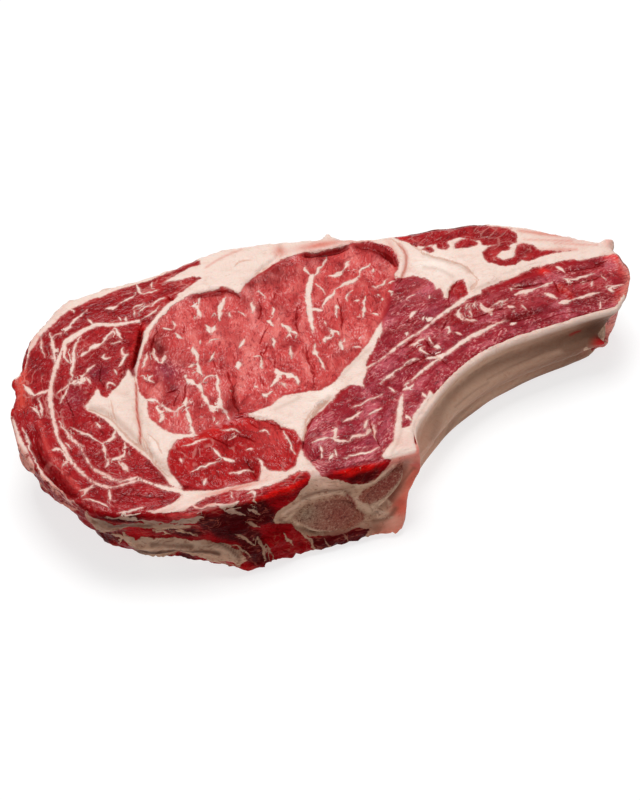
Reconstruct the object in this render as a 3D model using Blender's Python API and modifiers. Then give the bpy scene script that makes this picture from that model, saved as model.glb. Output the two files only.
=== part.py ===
"""Raw rib steak, bone in, lying on its cut face.

Metres, +Z up. +X runs along the rib towards its thin end, +Y towards the fat back edge, and -Y faces
the sawn chine side. The origin lies on the underside, below the middle of the steak. Plan sizes are
given in millimetres and turned into metres by MM.
"""

import math

import bmesh
import bpy
import numpy as np
from mathutils import Matrix, Vector, noise

MM = 0.001

# The slab
THICKNESS = 42.0
SPARE = 5.0  # extra stock below the underside, which the flat cut takes off
VOXEL = 1.5  # grain of the modelled surface before it is thinned out
MEAT_FACES = 9000
WELD = 0.01  # points of one mesh nearer than this are one point
EDGE_ROUND, FOOT_HEIGHT = 3.0, 7.0  # how far, and how high up, the wall draws in at its foot
BELLY = 1.2  # how far the wall swells half way up
WALL_REACH = 34.0  # how far into the steak a move of the wall is felt
GAP = 0.3  # between the bones and the meat round them

# Outline of the top face, clockwise seen from above. Each station is x, y, how far the foot of the
# wall stands outside the top edge there, and how ragged the wall is (0 smooth to 1 torn).
BACK = [
    (-137, 9, -8, 0.7), (-131.5, 21, -7, 0.6), (-128, 31, -6, 0.5), (-123.5, 43, -5, 0.4),
    (-115, 51, -5, 0.3), (-106, 59, -4, 0.3), (-98, 62, -3, 0.3), (-82, 63.2, -3, 0.2),
    (-65, 65, -2, 0.2), (-48, 68.3, -2, 0.2), (-30, 71, -2, 0.2), (-12, 69.8, -2, 0.2),
    (6, 66.5, -2, 0.2), (19, 63.5, -2, 0.2), (28, 60.3, -2, 0.2), (42, 57.3, -2, 0.2),
    (58, 56.7, -2, 0.2), (72, 54.8, -2, 0.2), (84, 53.8, -2, 0.2), (100, 47, -3, 0.2),
    (114, 38.9, -4, 0.2), (126, 30.6, -5, 0.2),
]
TIP = [
    (134.5, 25.5, -5, 0.4), (137, 17, -4, 0.4), (138.2, 8, -4, 0.3), (135, 0, -5.5, 0.2),
    (130.5, -6, -8.5, 0.1), (124, -12.5, -9.5, 0.0),
]
RIB_SIDE = [
    (110, -13, -6, 0.0), (90, -15, -4.5, 0.0), (72, -17, -1.5, 0.0), (58, -20.5, 1, 0.0),
    (45, -27, 1.2, 0.0), (34, -35, 1.4, 0.0), (25, -43.5, 0.8, 0.0), (19.5, -50, 0.8, 0.0),
]
FRONT = [
    (17.6, -56, 0, 0.0), (17, -61.3, 0, 0.0), (14.5, -62.8, 4, 0.0), (8, -62.4, 7, 0.1),
    (-2, -62.8, 9.5, 0.1), (-14, -61.6, 11.5, 0.1), (-27, -60.8, 11.5, 0.1), (-36, -63, 9.5, 0.4),
    (-46, -65.6, 6, 0.9), (-60, -67, 5, 1.0), (-75, -66.6, -2, 1.0), (-88, -65, -8, 1.0),
    (-99, -60.8, -8, 1.0),
]
LEFT_END = [
    (-110, -58, -13, 1.0), (-118, -53, -14, 1.0), (-127, -42, -15, 1.0), (-133, -30, -15, 0.9),
    (-137.3, -18, -12, 0.8), (-139.2, -4, -8.5, 0.7),
]

# Small scraps of meat and fat that stick out of the edge: middle, half sizes
SCRAPS = [
    ((17.6, 65.8, 39.5), (1.8, 3.2, 2.4)),
    ((136.3, 26.5, 37.5), (2.8, 2.8, 4.5)),
    ((-133.0, 23.0, 38.0), (1.8, 3.0, 3.0)),
    ((126.0, 1.5, 5.5), (4.2, 3.4, 3.6)),
    ((-107.5, -45.5, 10.0), (3.0, 3.4, 3.0)),
    ((5.0, -68.5, 4.5), (4.0, 3.4, 4.0)),
    ((-57.5, -70.0, 3.4), (6.5, 2.4, 3.2)),
]

# Relief of the top face
EYE = [
    (-84, 8), (-79, 24), (-70, 37), (-57, 46), (-42, 48.5), (-31, 43), (-20, 50), (-6, 57), (10, 56),
    (28, 57), (39, 50), (40, 36), (25, 9), (0, -12), (-18, -19.5), (-40, -23.5), (-66, -28),
    (-82, -17), (-84, -5),
]
EYE_SINK = 2.0  # the loin muscle shrinks back below the fat round it
EYE_REACH, EYE_LIP = 9.0, 2.5  # how far in the sink is felt, and how wide its step is
EYE_LEVEL_AT, EYE_SUNK_AT = -5.0, 30.0  # the sink grows along Y, towards the fat back edge
CLEFT = [(-74, 35), (-78, 28), (-82.5, 18), (-85.5, 8), (-88.5, -8), (-90.5, -28)]
SEAMS = [
    [(-76, 40), (-92, 43), (-106, 38.5), (-113, 28), (-120, 12), (-122, -8), (-118, -32), (-110, -44),
     (-97, -44.5)],
    [(-84, -45), (-78, -31), (-60, -27), (-40, -28), (-29, -37), (-33, -54), (-52, -59), (-74, -56),
     (-84, -45)],
    [(8, -14), (30, -4.5), (52, 6), (72, 14.5), (98, 19.5), (133, 17)],
    [(-28, -45), (-25, -64)],
    [(30, -24), (50, -14), (75, -6.5), (96, -4)],
]
CLEFT_DEPTH, CLEFT_REACH = 2.6, 2.8
SEAM_DEPTH, SEAM_REACH = 0.9, 2.4
SWELL, SWELL_REACH = 0.6, 22.0  # slow rise and fall of the cut face
CROWN_FROM, CROWN_TO = THICKNESS - 9, THICKNESS - 1  # heights between which the relief grows to full

# Layers of lean and fat that step in and out of the torn walls, falling towards the chine
LAYER_HEIGHT, LAYER_PITCH, LAYER_FALL, LAYER_RUN = 3.0, 8.5, 0.42, 30.0
TEAR_HEIGHT, TEAR_REACH = 1.5, 7.0
TORN_BACK = 1.0  # the torn walls stand back by this, so that their flaps reach the outline
TORN_FROM, TORN_TO = THICKNESS + 0.5, THICKNESS - 5  # heights between which the tearing grows to full
CORNER, CORNER_LEAN, CORNER_REACH = (17.0, -62.0), 9.0, 7.5  # the flap at the chine tucks under
CORNER_TOP, CORNER_FOOT = 32.0, 12.0  # heights between which the tuck grows to full

# The stretch of wall that the saw cut flat, along X and from the top down
SAWN_FROM, SAWN_TO, SAWN_BLEND = -36.0, 9.0, 6.0
SAWN_TOP, SAWN_FULL = THICKNESS - 1, THICKNESS - 12
SAWN_SKIN, SAWN_CORE = 1.2, 2.6  # only points this near the rim move, fading out in between
SAWN_BEHIND = -58.0  # the rim of the sawn stretch lies beyond this along -Y

# Shoulder, hollows and lip of the wall along the rib, by height
RIB_WALL_START = (18.0, 30.0)  # along X, from the chine corner
RIB_WALL = [(38.8, 0.9, 3.2), (31.2, -1.5, 3.4), (12.0, -1.5, 3.4)]  # height, swell and reach
RIB_WALL_RAG, RIB_WALL_SIDE = 0.12, 12.0  # the wall there is less ragged, and on this side of Y

# The rib: an oval bar that swells out of the wall, with its sawn head at the chine
RIB_HALF_DEPTH, RIB_HALF_HEIGHT = 5.6, 9.8
RIB_INSET = 4.2  # centre of the bar, inside the wall
RIB_LEVEL = 21.6
RIB_HEAD = [(-6.3, -65.4, 19.5), (2.6, -63.2, 26.6), (9.0, -58.6, 29.5), (13.0, -51.0, 26.5)]
HEAD_SHARE = 0.76  # thickness of the head against the bar
BAR_STEPS, BAR_ROUND = 5, 5  # points between two stations, and cuts round a quarter of the bar

# The piece of backbone beside the rib head
CHINE_MIDDLE = (-23.6, -63.0, 19.2)
CHINE_HALF = (13.4, 12.5, 9.6)
CHINE_TILT = 20.0  # degrees that its right side dips
CHINE_SEGMENTS, CHINE_RINGS = 28, 16

# The saw cut across the chine: a plane that leans out towards the foot
SAW_Y, SAW_LEVEL, SAW_SLOPE = -66.7, 21.0, 0.22
BONE_PROUD = 0.45  # how far the sawn bone stands out of the meat
SHARP = 40.0  # degrees between two faces from which their edge shows as an edge


def smooth_loop(stations, steps):
    """Points on a closed Catmull-Rom curve through the stations, with what each station carries."""
    here = np.array(stations, float)
    t = np.arange(steps)[:, None] / steps
    rows = []
    for a, b, c, d in zip(np.roll(here, 1, 0), here, np.roll(here, -1, 0), np.roll(here, -2, 0)):
        bend = 2 * a - 5 * b + 4 * c - d
        rows.append(0.5 * (2 * b + (c - a) * t + bend * t**2 + (3 * b - a - 3 * c + d) * t**3))
    return np.vstack(rows)


def smooth_path(stations, steps):
    """The same curve along an open run of stations."""
    ends = [stations[0], *stations, stations[-1]]
    closed = smooth_loop(ends, steps)
    return closed[steps : (len(ends) - 2) * steps + 1]


def outward(loop):
    """Unit normals in plan of a clockwise loop, pointing away from the steak."""
    along = np.roll(loop[:, :2], -1, 0) - np.roll(loop[:, :2], 1, 0)
    normal = np.column_stack([-along[:, 1], along[:, 0]])
    return normal / np.linalg.norm(normal, axis=1)[:, None]


def smoothstep(low, high, x):
    t = np.clip((x - low) / (high - low), 0, 1)
    return t * t * (3 - 2 * t)


def line_distance(points, line):
    """Distance in plan from each point to an open line."""
    best = np.full(len(points), 1e9)
    for a, b in zip(line[:-1], line[1:]):
        a, b = np.array(a, float), np.array(b, float)
        share = np.clip((points - a) @ (b - a) / ((b - a) @ (b - a)), 0, 1)
        best = np.minimum(best, np.linalg.norm(points - a - share[:, None] * (b - a), axis=1))
    return best


def inside(points, loop):
    """Whether each point lies inside a closed loop in plan."""
    x, y = points.T
    found = np.zeros(len(points), bool)
    for (ax, ay), (bx, by) in zip(loop, np.roll(loop, -1, 0)):
        if ay != by:
            crosses = (ay > y) != (by > y)
            found ^= crosses & (x < (bx - ax) * (y - ay) / (by - ay) + ax)
    return found


def grain(points, reach):
    """Smooth noise in -1..1 at each point, with features about reach across."""
    return np.array([noise.noise(Vector(p)) for p in points / np.array(reach)])


RIM_STEPS = 6
RIM = smooth_loop(BACK + TIP + RIB_SIDE + FRONT + LEFT_END, RIM_STEPS)
RIM_OUT = outward(RIM)


def saw_y(height):
    """Where the saw cut stands at a height."""
    return SAW_Y + SAW_SLOPE * (height - SAW_LEVEL)


# ---------------------------------------------------------------------------------------- scene


def clear_scene():
    for thing in list(bpy.data.objects):
        bpy.data.objects.remove(thing, do_unlink=True)


def collection(name):
    made = bpy.data.collections.new(name)
    bpy.context.scene.collection.children.link(made)
    return made


def material(name, colour, roughness):
    made = bpy.data.materials.new(name)
    made.use_nodes = True
    surface = made.node_tree.nodes["Principled BSDF"]
    surface.inputs["Base Color"].default_value = (*colour, 1)
    surface.inputs["Roughness"].default_value = roughness
    surface.inputs["Metallic"].default_value = 0.0
    return made


def add_object(name, mesh, home):
    made = bpy.data.objects.new(name, mesh)
    home.objects.link(made)
    return made


def give_finish(thing, finish):
    thing.data.materials.clear()
    thing.data.materials.append(finish)


def applied(thing):
    """The thing's mesh with its modifiers applied, in place of its own."""
    bpy.context.view_layer.update()
    seen = thing.evaluated_get(bpy.context.evaluated_depsgraph_get())
    mesh = bpy.data.meshes.new_from_object(seen)
    thing.modifiers.clear()
    thing.data = mesh
    return mesh


def curve_to_object(curve, name, home):
    """A mesh object made from a curve, with its caps welded on."""
    guide = add_object(name + "_curve", curve, home)
    bpy.context.view_layer.update()
    seen = guide.evaluated_get(bpy.context.evaluated_depsgraph_get())
    mesh = bpy.data.meshes.new_from_object(seen)
    work = bmesh.new()
    work.from_mesh(mesh)
    bmesh.ops.remove_doubles(work, verts=work.verts, dist=WELD * MM)
    work.to_mesh(mesh)
    work.free()
    bpy.data.objects.remove(guide, do_unlink=True)
    return add_object(name, mesh, home)


# ----------------------------------------------------------------------------------------- meat


def add_regrain(thing, name):
    """A voxel remesh, which gives a surface an even grain and joins what overlaps."""
    regrain = thing.modifiers.new(name, "REMESH")
    regrain.mode = "VOXEL"
    regrain.voxel_size = VOXEL * MM


def slab(home):
    """The outline as a thick plate with an even grain, and some spare stock below the underside."""
    curve = bpy.data.curves.new("meat_outline", "CURVE")
    curve.dimensions = "2D"
    curve.fill_mode = "BOTH"
    curve.extrude = (THICKNESS + SPARE) / 2 * MM
    spline = curve.splines.new("POLY")
    spline.points.add(len(RIM) - 1)
    for point, (x, y, *_) in zip(spline.points, RIM * MM):
        point.co = (x, y, 0, 1)
    spline.use_cyclic_u = True
    plate = curve_to_object(curve, "meat", home)
    work = bmesh.new()
    work.from_mesh(plate.data)
    bmesh.ops.translate(work, verts=work.verts, vec=(0, 0, (THICKNESS - SPARE) / 2 * MM))
    work.to_mesh(plate.data)
    work.free()
    add_regrain(plate, "Grain")
    applied(plate)
    return plate


def nearest_rim(plan):
    """For each plan point, the index of the nearest rim point and the distance to it."""
    which = np.zeros(len(plan), int)
    away = np.full(len(plan), math.inf)
    for index, rim in enumerate(RIM[:, :2]):
        gap = np.linalg.norm(plan - rim, axis=1)
        nearer = gap < away
        which[nearer] = index
        away[nearer] = gap[nearer]
    return which, away


def wall_shift(points, which, away):
    """How far each point moves outward: the wall's lean, belly and foot, then its torn layers."""
    height = points[:, 2]
    up = np.clip(height / THICKNESS, 0, 1)
    foot, rag = RIM[which, 2], RIM[which, 3]
    shift = foot * (1 - up) + BELLY * np.sin(math.pi * up)
    shift -= EDGE_ROUND * np.clip(1 - height / FOOT_HEIGHT, 0, 1) ** 2
    along = np.cumsum(np.r_[0, np.linalg.norm(np.diff(RIM[:, :2], axis=0), axis=1)])[which]
    level = height + LAYER_FALL * along
    strip = np.column_stack([along / LAYER_RUN, level / LAYER_PITCH, np.zeros(len(points))])
    torn = LAYER_HEIGHT * grain(strip, 1.0) + TEAR_HEIGHT * grain(points, TEAR_REACH)
    shift += rag * (torn - TORN_BACK) * smoothstep(TORN_FROM, TORN_TO, height)
    side = smoothstep(*RIB_WALL_START, points[:, 0])
    side *= (rag < RIB_WALL_RAG) * (points[:, 1] < RIB_WALL_SIDE)
    for level, swell, reach in RIB_WALL:
        shift += side * swell * np.exp(-(((height - level) / reach) ** 2))
    return shift * smoothstep(WALL_REACH, 0, away)


def tuck_corner(points):
    """Draws the foot of the chine corner back along the steak."""
    reach = np.linalg.norm(points[:, :2] - np.array(CORNER), axis=1) / CORNER_REACH
    return CORNER_LEAN * smoothstep(CORNER_TOP, CORNER_FOOT, points[:, 2]) * np.exp(-(reach**2))


def flatten_sawn(points, which, away):
    """Draws the wall round the bones to the saw cut."""
    x, y, height = points.T
    stretch = smoothstep(SAWN_FROM - SAWN_BLEND, SAWN_FROM, x)
    stretch *= smoothstep(SAWN_TO + SAWN_BLEND, SAWN_TO, x)
    stretch *= smoothstep(SAWN_CORE, SAWN_SKIN, away) * (RIM[which, 1] < SAWN_BEHIND)
    stretch *= smoothstep(SAWN_TOP, SAWN_FULL, height)
    foot = EDGE_ROUND * np.clip(1 - height / FOOT_HEIGHT, 0, 1) ** 2
    return y + stretch * (saw_y(height) + foot - y)


def top_relief(plan):
    """Rise and fall of the cut face at each plan point."""
    rise = SWELL * grain(np.column_stack([plan, np.zeros(len(plan))]), SWELL_REACH)
    eye = np.array(EYE, float)
    deep = np.where(inside(plan, eye), line_distance(plan, [*EYE, EYE[0]]), 0)
    lip = smoothstep(EYE_LEVEL_AT, EYE_SUNK_AT, plan[:, 1]) * smoothstep(0, EYE_LIP, deep)
    rise -= EYE_SINK * lip * np.exp(-deep / EYE_REACH)
    rise -= CLEFT_DEPTH * np.exp(-((line_distance(plan, CLEFT) / CLEFT_REACH) ** 2))
    for seam in SEAMS:
        rise -= SEAM_DEPTH * np.exp(-((line_distance(plan, seam) / SEAM_REACH) ** 2))
    return rise


def triangles_before(thing, last):
    """How many triangles reach the last modifier, counted with it switched off."""
    last.show_viewport = False
    bpy.context.view_layer.update()
    seen = thing.evaluated_get(bpy.context.evaluated_depsgraph_get())
    seen.data.calc_loop_triangles()
    count = len(seen.data.loop_triangles)
    last.show_viewport = True
    return count


def add_scraps(mesh):
    """Small rounded scraps, which the next remesh grows into the steak."""
    work = bmesh.new()
    work.from_mesh(mesh)
    for middle, half in SCRAPS:
        place = Matrix.Translation(Vector(middle) * MM) @ Matrix.Diagonal((*half, 1))
        bmesh.ops.create_icosphere(work, subdivisions=3, radius=MM, matrix=place)
    work.to_mesh(mesh)
    work.free()


def cut_flat(thing, through, drop):
    """Cuts off what lies on the drop side of a plane through a point, and closes the cut."""
    work = bmesh.new()
    work.from_mesh(thing.data)
    everything = work.verts[:] + work.edges[:] + work.faces[:]
    cut = bmesh.ops.bisect_plane(
        work, geom=everything, dist=1e-7, plane_co=through, plane_no=drop, clear_outer=True
    )
    rim = [item for item in cut["geom_cut"] if isinstance(item, bmesh.types.BMEdge)]
    bmesh.ops.contextual_create(work, geom=rim)
    bmesh.ops.triangulate(work, faces=[face for face in work.faces if len(face.verts) > 4])
    work.to_mesh(thing.data)
    work.free()


def make_meat(home, finish):
    steak = slab(home)
    points = np.empty(len(steak.data.vertices) * 3)
    steak.data.vertices.foreach_get("co", points)
    points = points.reshape(-1, 3) / MM
    which, away = nearest_rim(points[:, :2])
    crown = top_relief(points[:, :2]) * smoothstep(CROWN_FROM, CROWN_TO, points[:, 2])
    shift = wall_shift(points, which, away)
    points[:, 0] -= tuck_corner(points)
    points[:, :2] += RIM_OUT[which] * shift[:, None]
    points[:, 1] = flatten_sawn(points, which, away)
    points[:, 2] += crown
    steak.data.vertices.foreach_set("co", (points * MM).ravel())
    add_scraps(steak.data)
    add_regrain(steak, "Regrain")
    thin = steak.modifiers.new("Thin", "DECIMATE")
    thin.use_collapse_triangulate = True
    thin.ratio = MEAT_FACES / triangles_before(steak, thin)
    applied(steak)
    cut_flat(steak, (0, 0, 0), (0, 0, -1))
    give_finish(steak, finish)
    return steak


# ---------------------------------------------------------------------------------------- bones


def rib_route():
    """Middle line of the rib and its share of full thickness: its head, then its run inside the wall.

    The run starts one station short of the chine corner, where the rib turns in behind the corner.
    """
    start = len(BACK) + len(TIP) - 1
    route = []
    for station in range(start + len(RIB_SIDE) - 1, start - 1, -1):
        x, y, foot, _ = RIM[station * RIM_STEPS]
        side = Vector(RIM_OUT[station * RIM_STEPS])
        deep = foot * (1 - RIB_LEVEL / THICKNESS) + BELLY - RIB_INSET
        route.append((x + side.x * deep, y + side.y * deep, RIB_LEVEL, 1.0))
    head = [(*point, HEAD_SHARE) for point in RIB_HEAD]
    return smooth_path(head + route, BAR_STEPS)


def bar(name, home, spare):
    """The rib as an oval tube along its route, grown by spare all round."""
    squash = RIB_HALF_HEIGHT / RIB_HALF_DEPTH
    curve = bpy.data.curves.new(name, "CURVE")
    curve.dimensions = "3D"
    curve.bevel_depth = RIB_HALF_DEPTH * MM
    curve.bevel_resolution = BAR_ROUND
    curve.use_fill_caps = True
    curve.twist_mode = "Z_UP"
    route = rib_route()
    spline = curve.splines.new("POLY")
    spline.points.add(len(route) - 1)
    for point, (x, y, z, share) in zip(spline.points, route):
        point.co = (x * MM, y * MM, z * MM / squash, 1)
        point.radius = share + spare / RIB_HALF_DEPTH
    if spare:
        first, last = spline.points[0], spline.points[-1]
        first.co.xyz += (first.co.xyz - spline.points[1].co.xyz).normalized() * spare * MM
        last.co.xyz += (last.co.xyz - spline.points[-2].co.xyz).normalized() * spare * MM
    made = curve_to_object(curve, name, home)
    made.data.transform(Matrix.Diagonal((1, 1, squash, 1)))
    return made


def knuckle(name, home, spare):
    """The piece of backbone as a rounded block, grown by spare all round."""
    work = bmesh.new()
    half = [(size + spare) * MM for size in CHINE_HALF]
    place = Matrix.Translation(Vector(CHINE_MIDDLE) * MM)
    place @= Matrix.Rotation(math.radians(CHINE_TILT), 4, "Y") @ Matrix.Diagonal((*half, 1))
    bmesh.ops.create_uvsphere(
        work, u_segments=CHINE_SEGMENTS, v_segments=CHINE_RINGS, radius=1, matrix=place
    )
    mesh = bpy.data.meshes.new(name)
    work.to_mesh(mesh)
    work.free()
    return add_object(name, mesh, home)


def saw(bone):
    """Cuts a bone off flat where the saw went through, a little proud of the meat."""
    cut_flat(bone, (0, (SAW_Y - BONE_PROUD) * MM, SAW_LEVEL * MM), (0, -1, SAW_SLOPE))
    bone.data.shade_smooth()
    bone.data.set_sharp_from_angle(angle=math.radians(SHARP))


def make_room(steak, cutter):
    """Takes a bone's room out of the meat."""
    cutter.hide_render = True
    cutter.display_type = "WIRE"
    room = steak.modifiers.new(cutter.name, "BOOLEAN")
    room.operation = "DIFFERENCE"
    room.solver = "EXACT"
    room.object = cutter


def main():
    clear_scene()
    parts = collection("raw_rib_steak")
    cutters = collection("cutters")
    lean = material("lean_meat", (0.36, 0.035, 0.035), 0.38)
    bone = material("bone", (0.62, 0.47, 0.36), 0.5)
    steak = make_meat(parts, lean)
    rib = bar("rib_bone", parts, 0)
    chine = knuckle("chine_bone", parts, 0)
    for piece in (rib, chine):
        saw(piece)
        give_finish(piece, bone)
    make_room(steak, bar("rib_room", cutters, GAP))
    make_room(steak, knuckle("chine_room", cutters, GAP))


main()
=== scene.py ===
# %% [markdown]
# # A raw rib steak
#
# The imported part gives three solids: the meat, the rib and a piece of the backbone. This lesson dresses
# them. The steak's cut face is a map of muscles, fat and thin strands of marbling. A picture could be
# wrapped round it, but a picture can't be recoloured and goes blurred close up. So the map is drawn from
# named outlines, stored on the mesh as distances, and turned into crisp edges by the shader.

# %% Load the frame
import math
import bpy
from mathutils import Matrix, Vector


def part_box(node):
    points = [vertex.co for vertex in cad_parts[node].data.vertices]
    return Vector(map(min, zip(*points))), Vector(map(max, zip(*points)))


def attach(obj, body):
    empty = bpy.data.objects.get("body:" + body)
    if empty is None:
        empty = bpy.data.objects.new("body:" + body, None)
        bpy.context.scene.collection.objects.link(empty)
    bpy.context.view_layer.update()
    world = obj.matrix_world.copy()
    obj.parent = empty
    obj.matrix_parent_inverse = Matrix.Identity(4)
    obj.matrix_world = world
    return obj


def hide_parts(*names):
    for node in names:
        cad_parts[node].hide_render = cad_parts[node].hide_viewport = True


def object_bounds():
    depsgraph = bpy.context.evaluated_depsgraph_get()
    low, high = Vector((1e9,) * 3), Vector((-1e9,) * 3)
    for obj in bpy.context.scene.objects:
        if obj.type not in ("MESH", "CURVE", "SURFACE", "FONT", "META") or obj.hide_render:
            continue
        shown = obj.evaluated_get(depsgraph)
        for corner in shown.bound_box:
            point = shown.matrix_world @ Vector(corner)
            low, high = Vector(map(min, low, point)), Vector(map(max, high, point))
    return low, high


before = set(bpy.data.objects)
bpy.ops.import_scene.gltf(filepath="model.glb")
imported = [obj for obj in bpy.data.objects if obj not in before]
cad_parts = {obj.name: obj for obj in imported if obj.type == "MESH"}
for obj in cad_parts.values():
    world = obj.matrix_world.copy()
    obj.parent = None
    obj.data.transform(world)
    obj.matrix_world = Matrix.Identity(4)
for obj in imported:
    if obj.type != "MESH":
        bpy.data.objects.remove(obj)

from types import SimpleNamespace

import bmesh
import bpy
import numpy as np
from mathutils import Vector, noise

MM = 0.001
cad_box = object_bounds()
print("solids in the frame:", sorted(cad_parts))

# %% [markdown]
# ## The camera
#
# The camera stands where the photographer stood: seventeen degrees left of the middle and fifty degrees
# up, with a long lens. It comes first, because the steak's map was read off the photo. A reading is where
# something shows on the level of the top face, in millimetres, so a point below that level is carried up
# along its line of sight before it is looked up on the map.

# %% Place the camera
AZIMUTH, ELEVATION = math.radians(-17), math.radians(50)
DISTANCE, LENS = 0.810, 85.0
AIM = Vector((-0.009, -0.0085, 0.021))
TOP = 42.0  # height of the cut face in mm

back = Vector((
    math.sin(AZIMUTH) * math.cos(ELEVATION),
    -math.cos(AZIMUTH) * math.cos(ELEVATION),
    math.sin(ELEVATION),
))
camera = bpy.data.objects.new("camera", bpy.data.cameras.new("camera"))
camera.data.lens = LENS
camera.location = AIM + back * DISTANCE
camera.rotation_euler = back.to_track_quat("Z", "Y").to_euler()
bpy.context.scene.collection.objects.link(camera)
bpy.context.scene.camera = camera
LENS_AT = np.array(camera.location) / MM


def as_read(points):
    """Where points in mm show on the level of the cut face, seen along their lines of sight."""
    share = (TOP - LENS_AT[2]) / (points[:, 2] - LENS_AT[2])
    return LENS_AT[:2] + (points[:, :2] - LENS_AT[:2]) * share[:, None]


print("camera at", [round(x, 1) for x in LENS_AT], "mm")

# %% [markdown]
# ## An even skin
#
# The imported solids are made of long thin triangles, which can't carry fine detail. A voxel remesh gives
# the steak an even skin, and one more cut of every face but the underside's makes it fine enough for the
# marbling. The rib is wrapped in a membrane that runs on over the meat, so the rib and the piece of
# backbone are grown a little and melted into the skin. They come back later as pieces of their own, which
# show where the saw cut through them.

# %% Even out the skin
WELD = 0.01 * MM
SKIN_GRAIN = 1.77 * MM
BONE_GROWTH = 0.55 * MM  # more than the gap round the bones


def copy_of(node, growth=0.0):
    """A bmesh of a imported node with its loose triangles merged, grown along its normals."""
    work = bmesh.new()
    work.from_mesh(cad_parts[node].data)
    bmesh.ops.remove_doubles(work, verts=work.verts, dist=WELD)
    work.normal_update()
    for vert in work.verts:
        vert.co += vert.normal * growth
    return work


def join(name, works):
    """One object made of several bmeshes."""
    whole = bmesh.new()
    for work in works:
        part = bpy.data.meshes.new(name)
        work.to_mesh(part)
        whole.from_mesh(part)
        work.free()
        bpy.data.meshes.remove(part)
    mesh = bpy.data.meshes.new(name)
    whole.to_mesh(mesh)
    whole.free()
    made = bpy.data.objects.new(name, mesh)
    bpy.context.scene.collection.objects.link(made)
    return made


def even_out(piece, grain):
    """Remeshes a piece to faces of one size and applies the result."""
    even = piece.modifiers.new("Even", "REMESH")
    even.mode = "VOXEL"
    even.voxel_size = grain
    bpy.context.view_layer.update()
    seen = piece.evaluated_get(bpy.context.evaluated_depsgraph_get())
    mesh = bpy.data.meshes.new_from_object(seen)
    piece.modifiers.clear()
    piece.data = mesh


def relax(work):
    """Moves each vertex halfway towards the middle of its neighbours."""
    axes = {f"use_axis_{axis}": True for axis in "xyz"}
    bmesh.ops.smooth_vert(work, verts=work.verts, factor=0.5, **axes)


def refine(piece, is_fine, rounds):
    """Cuts the edges that is_fine picks in two and relaxes the skin for some rounds."""
    work = bmesh.new()
    work.from_mesh(piece.data)
    relax(work)
    fine = [edge for edge in work.edges if is_fine(edge)]
    bmesh.ops.subdivide_edges(work, edges=fine, cuts=1, use_grid_fill=True)
    for _ in range(rounds):
        relax(work)
    work.to_mesh(piece.data)
    work.free()


bones = [copy_of(node, BONE_GROWTH) for node in ("rib_bone", "chine_bone")]
steak = join("steak", [copy_of("meat"), *bones])
even_out(steak, SKIN_GRAIN)
refine(steak, lambda edge: max(vert.co.z for vert in edge.verts) > SKIN_GRAIN, 2)
print("skin:", len(steak.data.polygons), "faces")

# %% [markdown]
# ## Distances
#
# Everything on the map is an outline or a line. For each point of the skin the script works out how deep
# it lies inside an outline, or how far to the side of a line. Distances change evenly between two points
# of the mesh, so the shader can draw an edge much sharper than the mesh itself. For a thin strand the
# distance keeps its sign from one side to the other, because a strand narrower than a face would
# otherwise break up into dots.

# %% Measure distances on the map
def smoothstep(low, high, x):
    """Rises smoothly from 0 at low to 1 at high, or falls where low is the larger."""
    t = np.clip((x - low) / (high - low), 0, 1)
    return t * t * (3 - 2 * t)


def to_line(plan, line):
    """Signed distance from each plan point to a line, the share of its length there, and the overrun."""
    line = np.array(line, float)
    lengths = np.linalg.norm(np.diff(line, axis=0), axis=1)
    total, start = lengths.sum(), 0.0
    best = np.full(len(plan), np.inf)
    side, share, over = np.ones(len(plan)), np.zeros(len(plan)), np.zeros(len(plan))
    for index, length in enumerate(lengths):
        run = (line[index + 1] - line[index]) / length
        off = plan - line[index]
        along = off @ run
        near = np.clip(along, 0, length)
        gap = np.linalg.norm(off - near[:, None] * run, axis=1)
        nearer = gap < best
        best[nearer] = gap[nearer]
        side[nearer] = np.sign(run[0] * off[:, 1] - run[1] * off[:, 0])[nearer]
        share[nearer] = ((start + near) / total)[nearer]
        beyond = np.zeros(len(plan))
        if index == 0:
            beyond = np.maximum(beyond, -along)
        if index == len(lengths) - 1:
            beyond = np.maximum(beyond, along - length)
        over[nearer] = beyond[nearer]
        start += length
    return best * np.where(side == 0, 1, side), share, over


def rounded(line, rounds=2):
    """A line with its corners cut, so that it bends as a soft thing does. Its ends stay."""
    line = np.array(line, float)
    for _ in range(rounds):
        near, far = line[:-1] * 0.75 + line[1:] * 0.25, line[:-1] * 0.25 + line[1:] * 0.75
        line = np.vstack([line[:1], np.stack([near, far], axis=1).reshape(-1, 2), line[-1:]])
    return line


def inside(plan, outline):
    """Whether each plan point lies inside an outline."""
    x, y = plan.T
    found = np.zeros(len(plan), bool)
    for (ax, ay), (bx, by) in zip(outline, np.roll(outline, -1, 0)):
        if ay != by:
            crosses = (ay > y) != (by > y)
            found ^= crosses & (x < (bx - ax) * (y - ay) / (by - ay) + ax)
    return found


FAR = 8.0


def depth_in(plan, outline):
    """How deep each plan point lies inside an outline, below zero outside it, no further than FAR."""
    outline = np.array(outline, float)
    near = np.all((plan > outline.min(0) - FAR) & (plan < outline.max(0) + FAR), axis=1)
    depth = np.full(len(plan), -FAR)
    gap = np.abs(to_line(plan[near], [*outline, outline[0]])[0])
    depth[near] = np.clip(np.where(inside(plan[near], outline), gap, -gap), -FAR, FAR)
    return depth


print("3 mm above a level line reads", to_line(np.array([(5.0, 3.0)]), [(0, 0), (10, 0)])[0][0])

# %% Draw soft patches and smooth noise
PATCH_FALL = 1.4  # leaves a quarter of a patch at its half width


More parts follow.
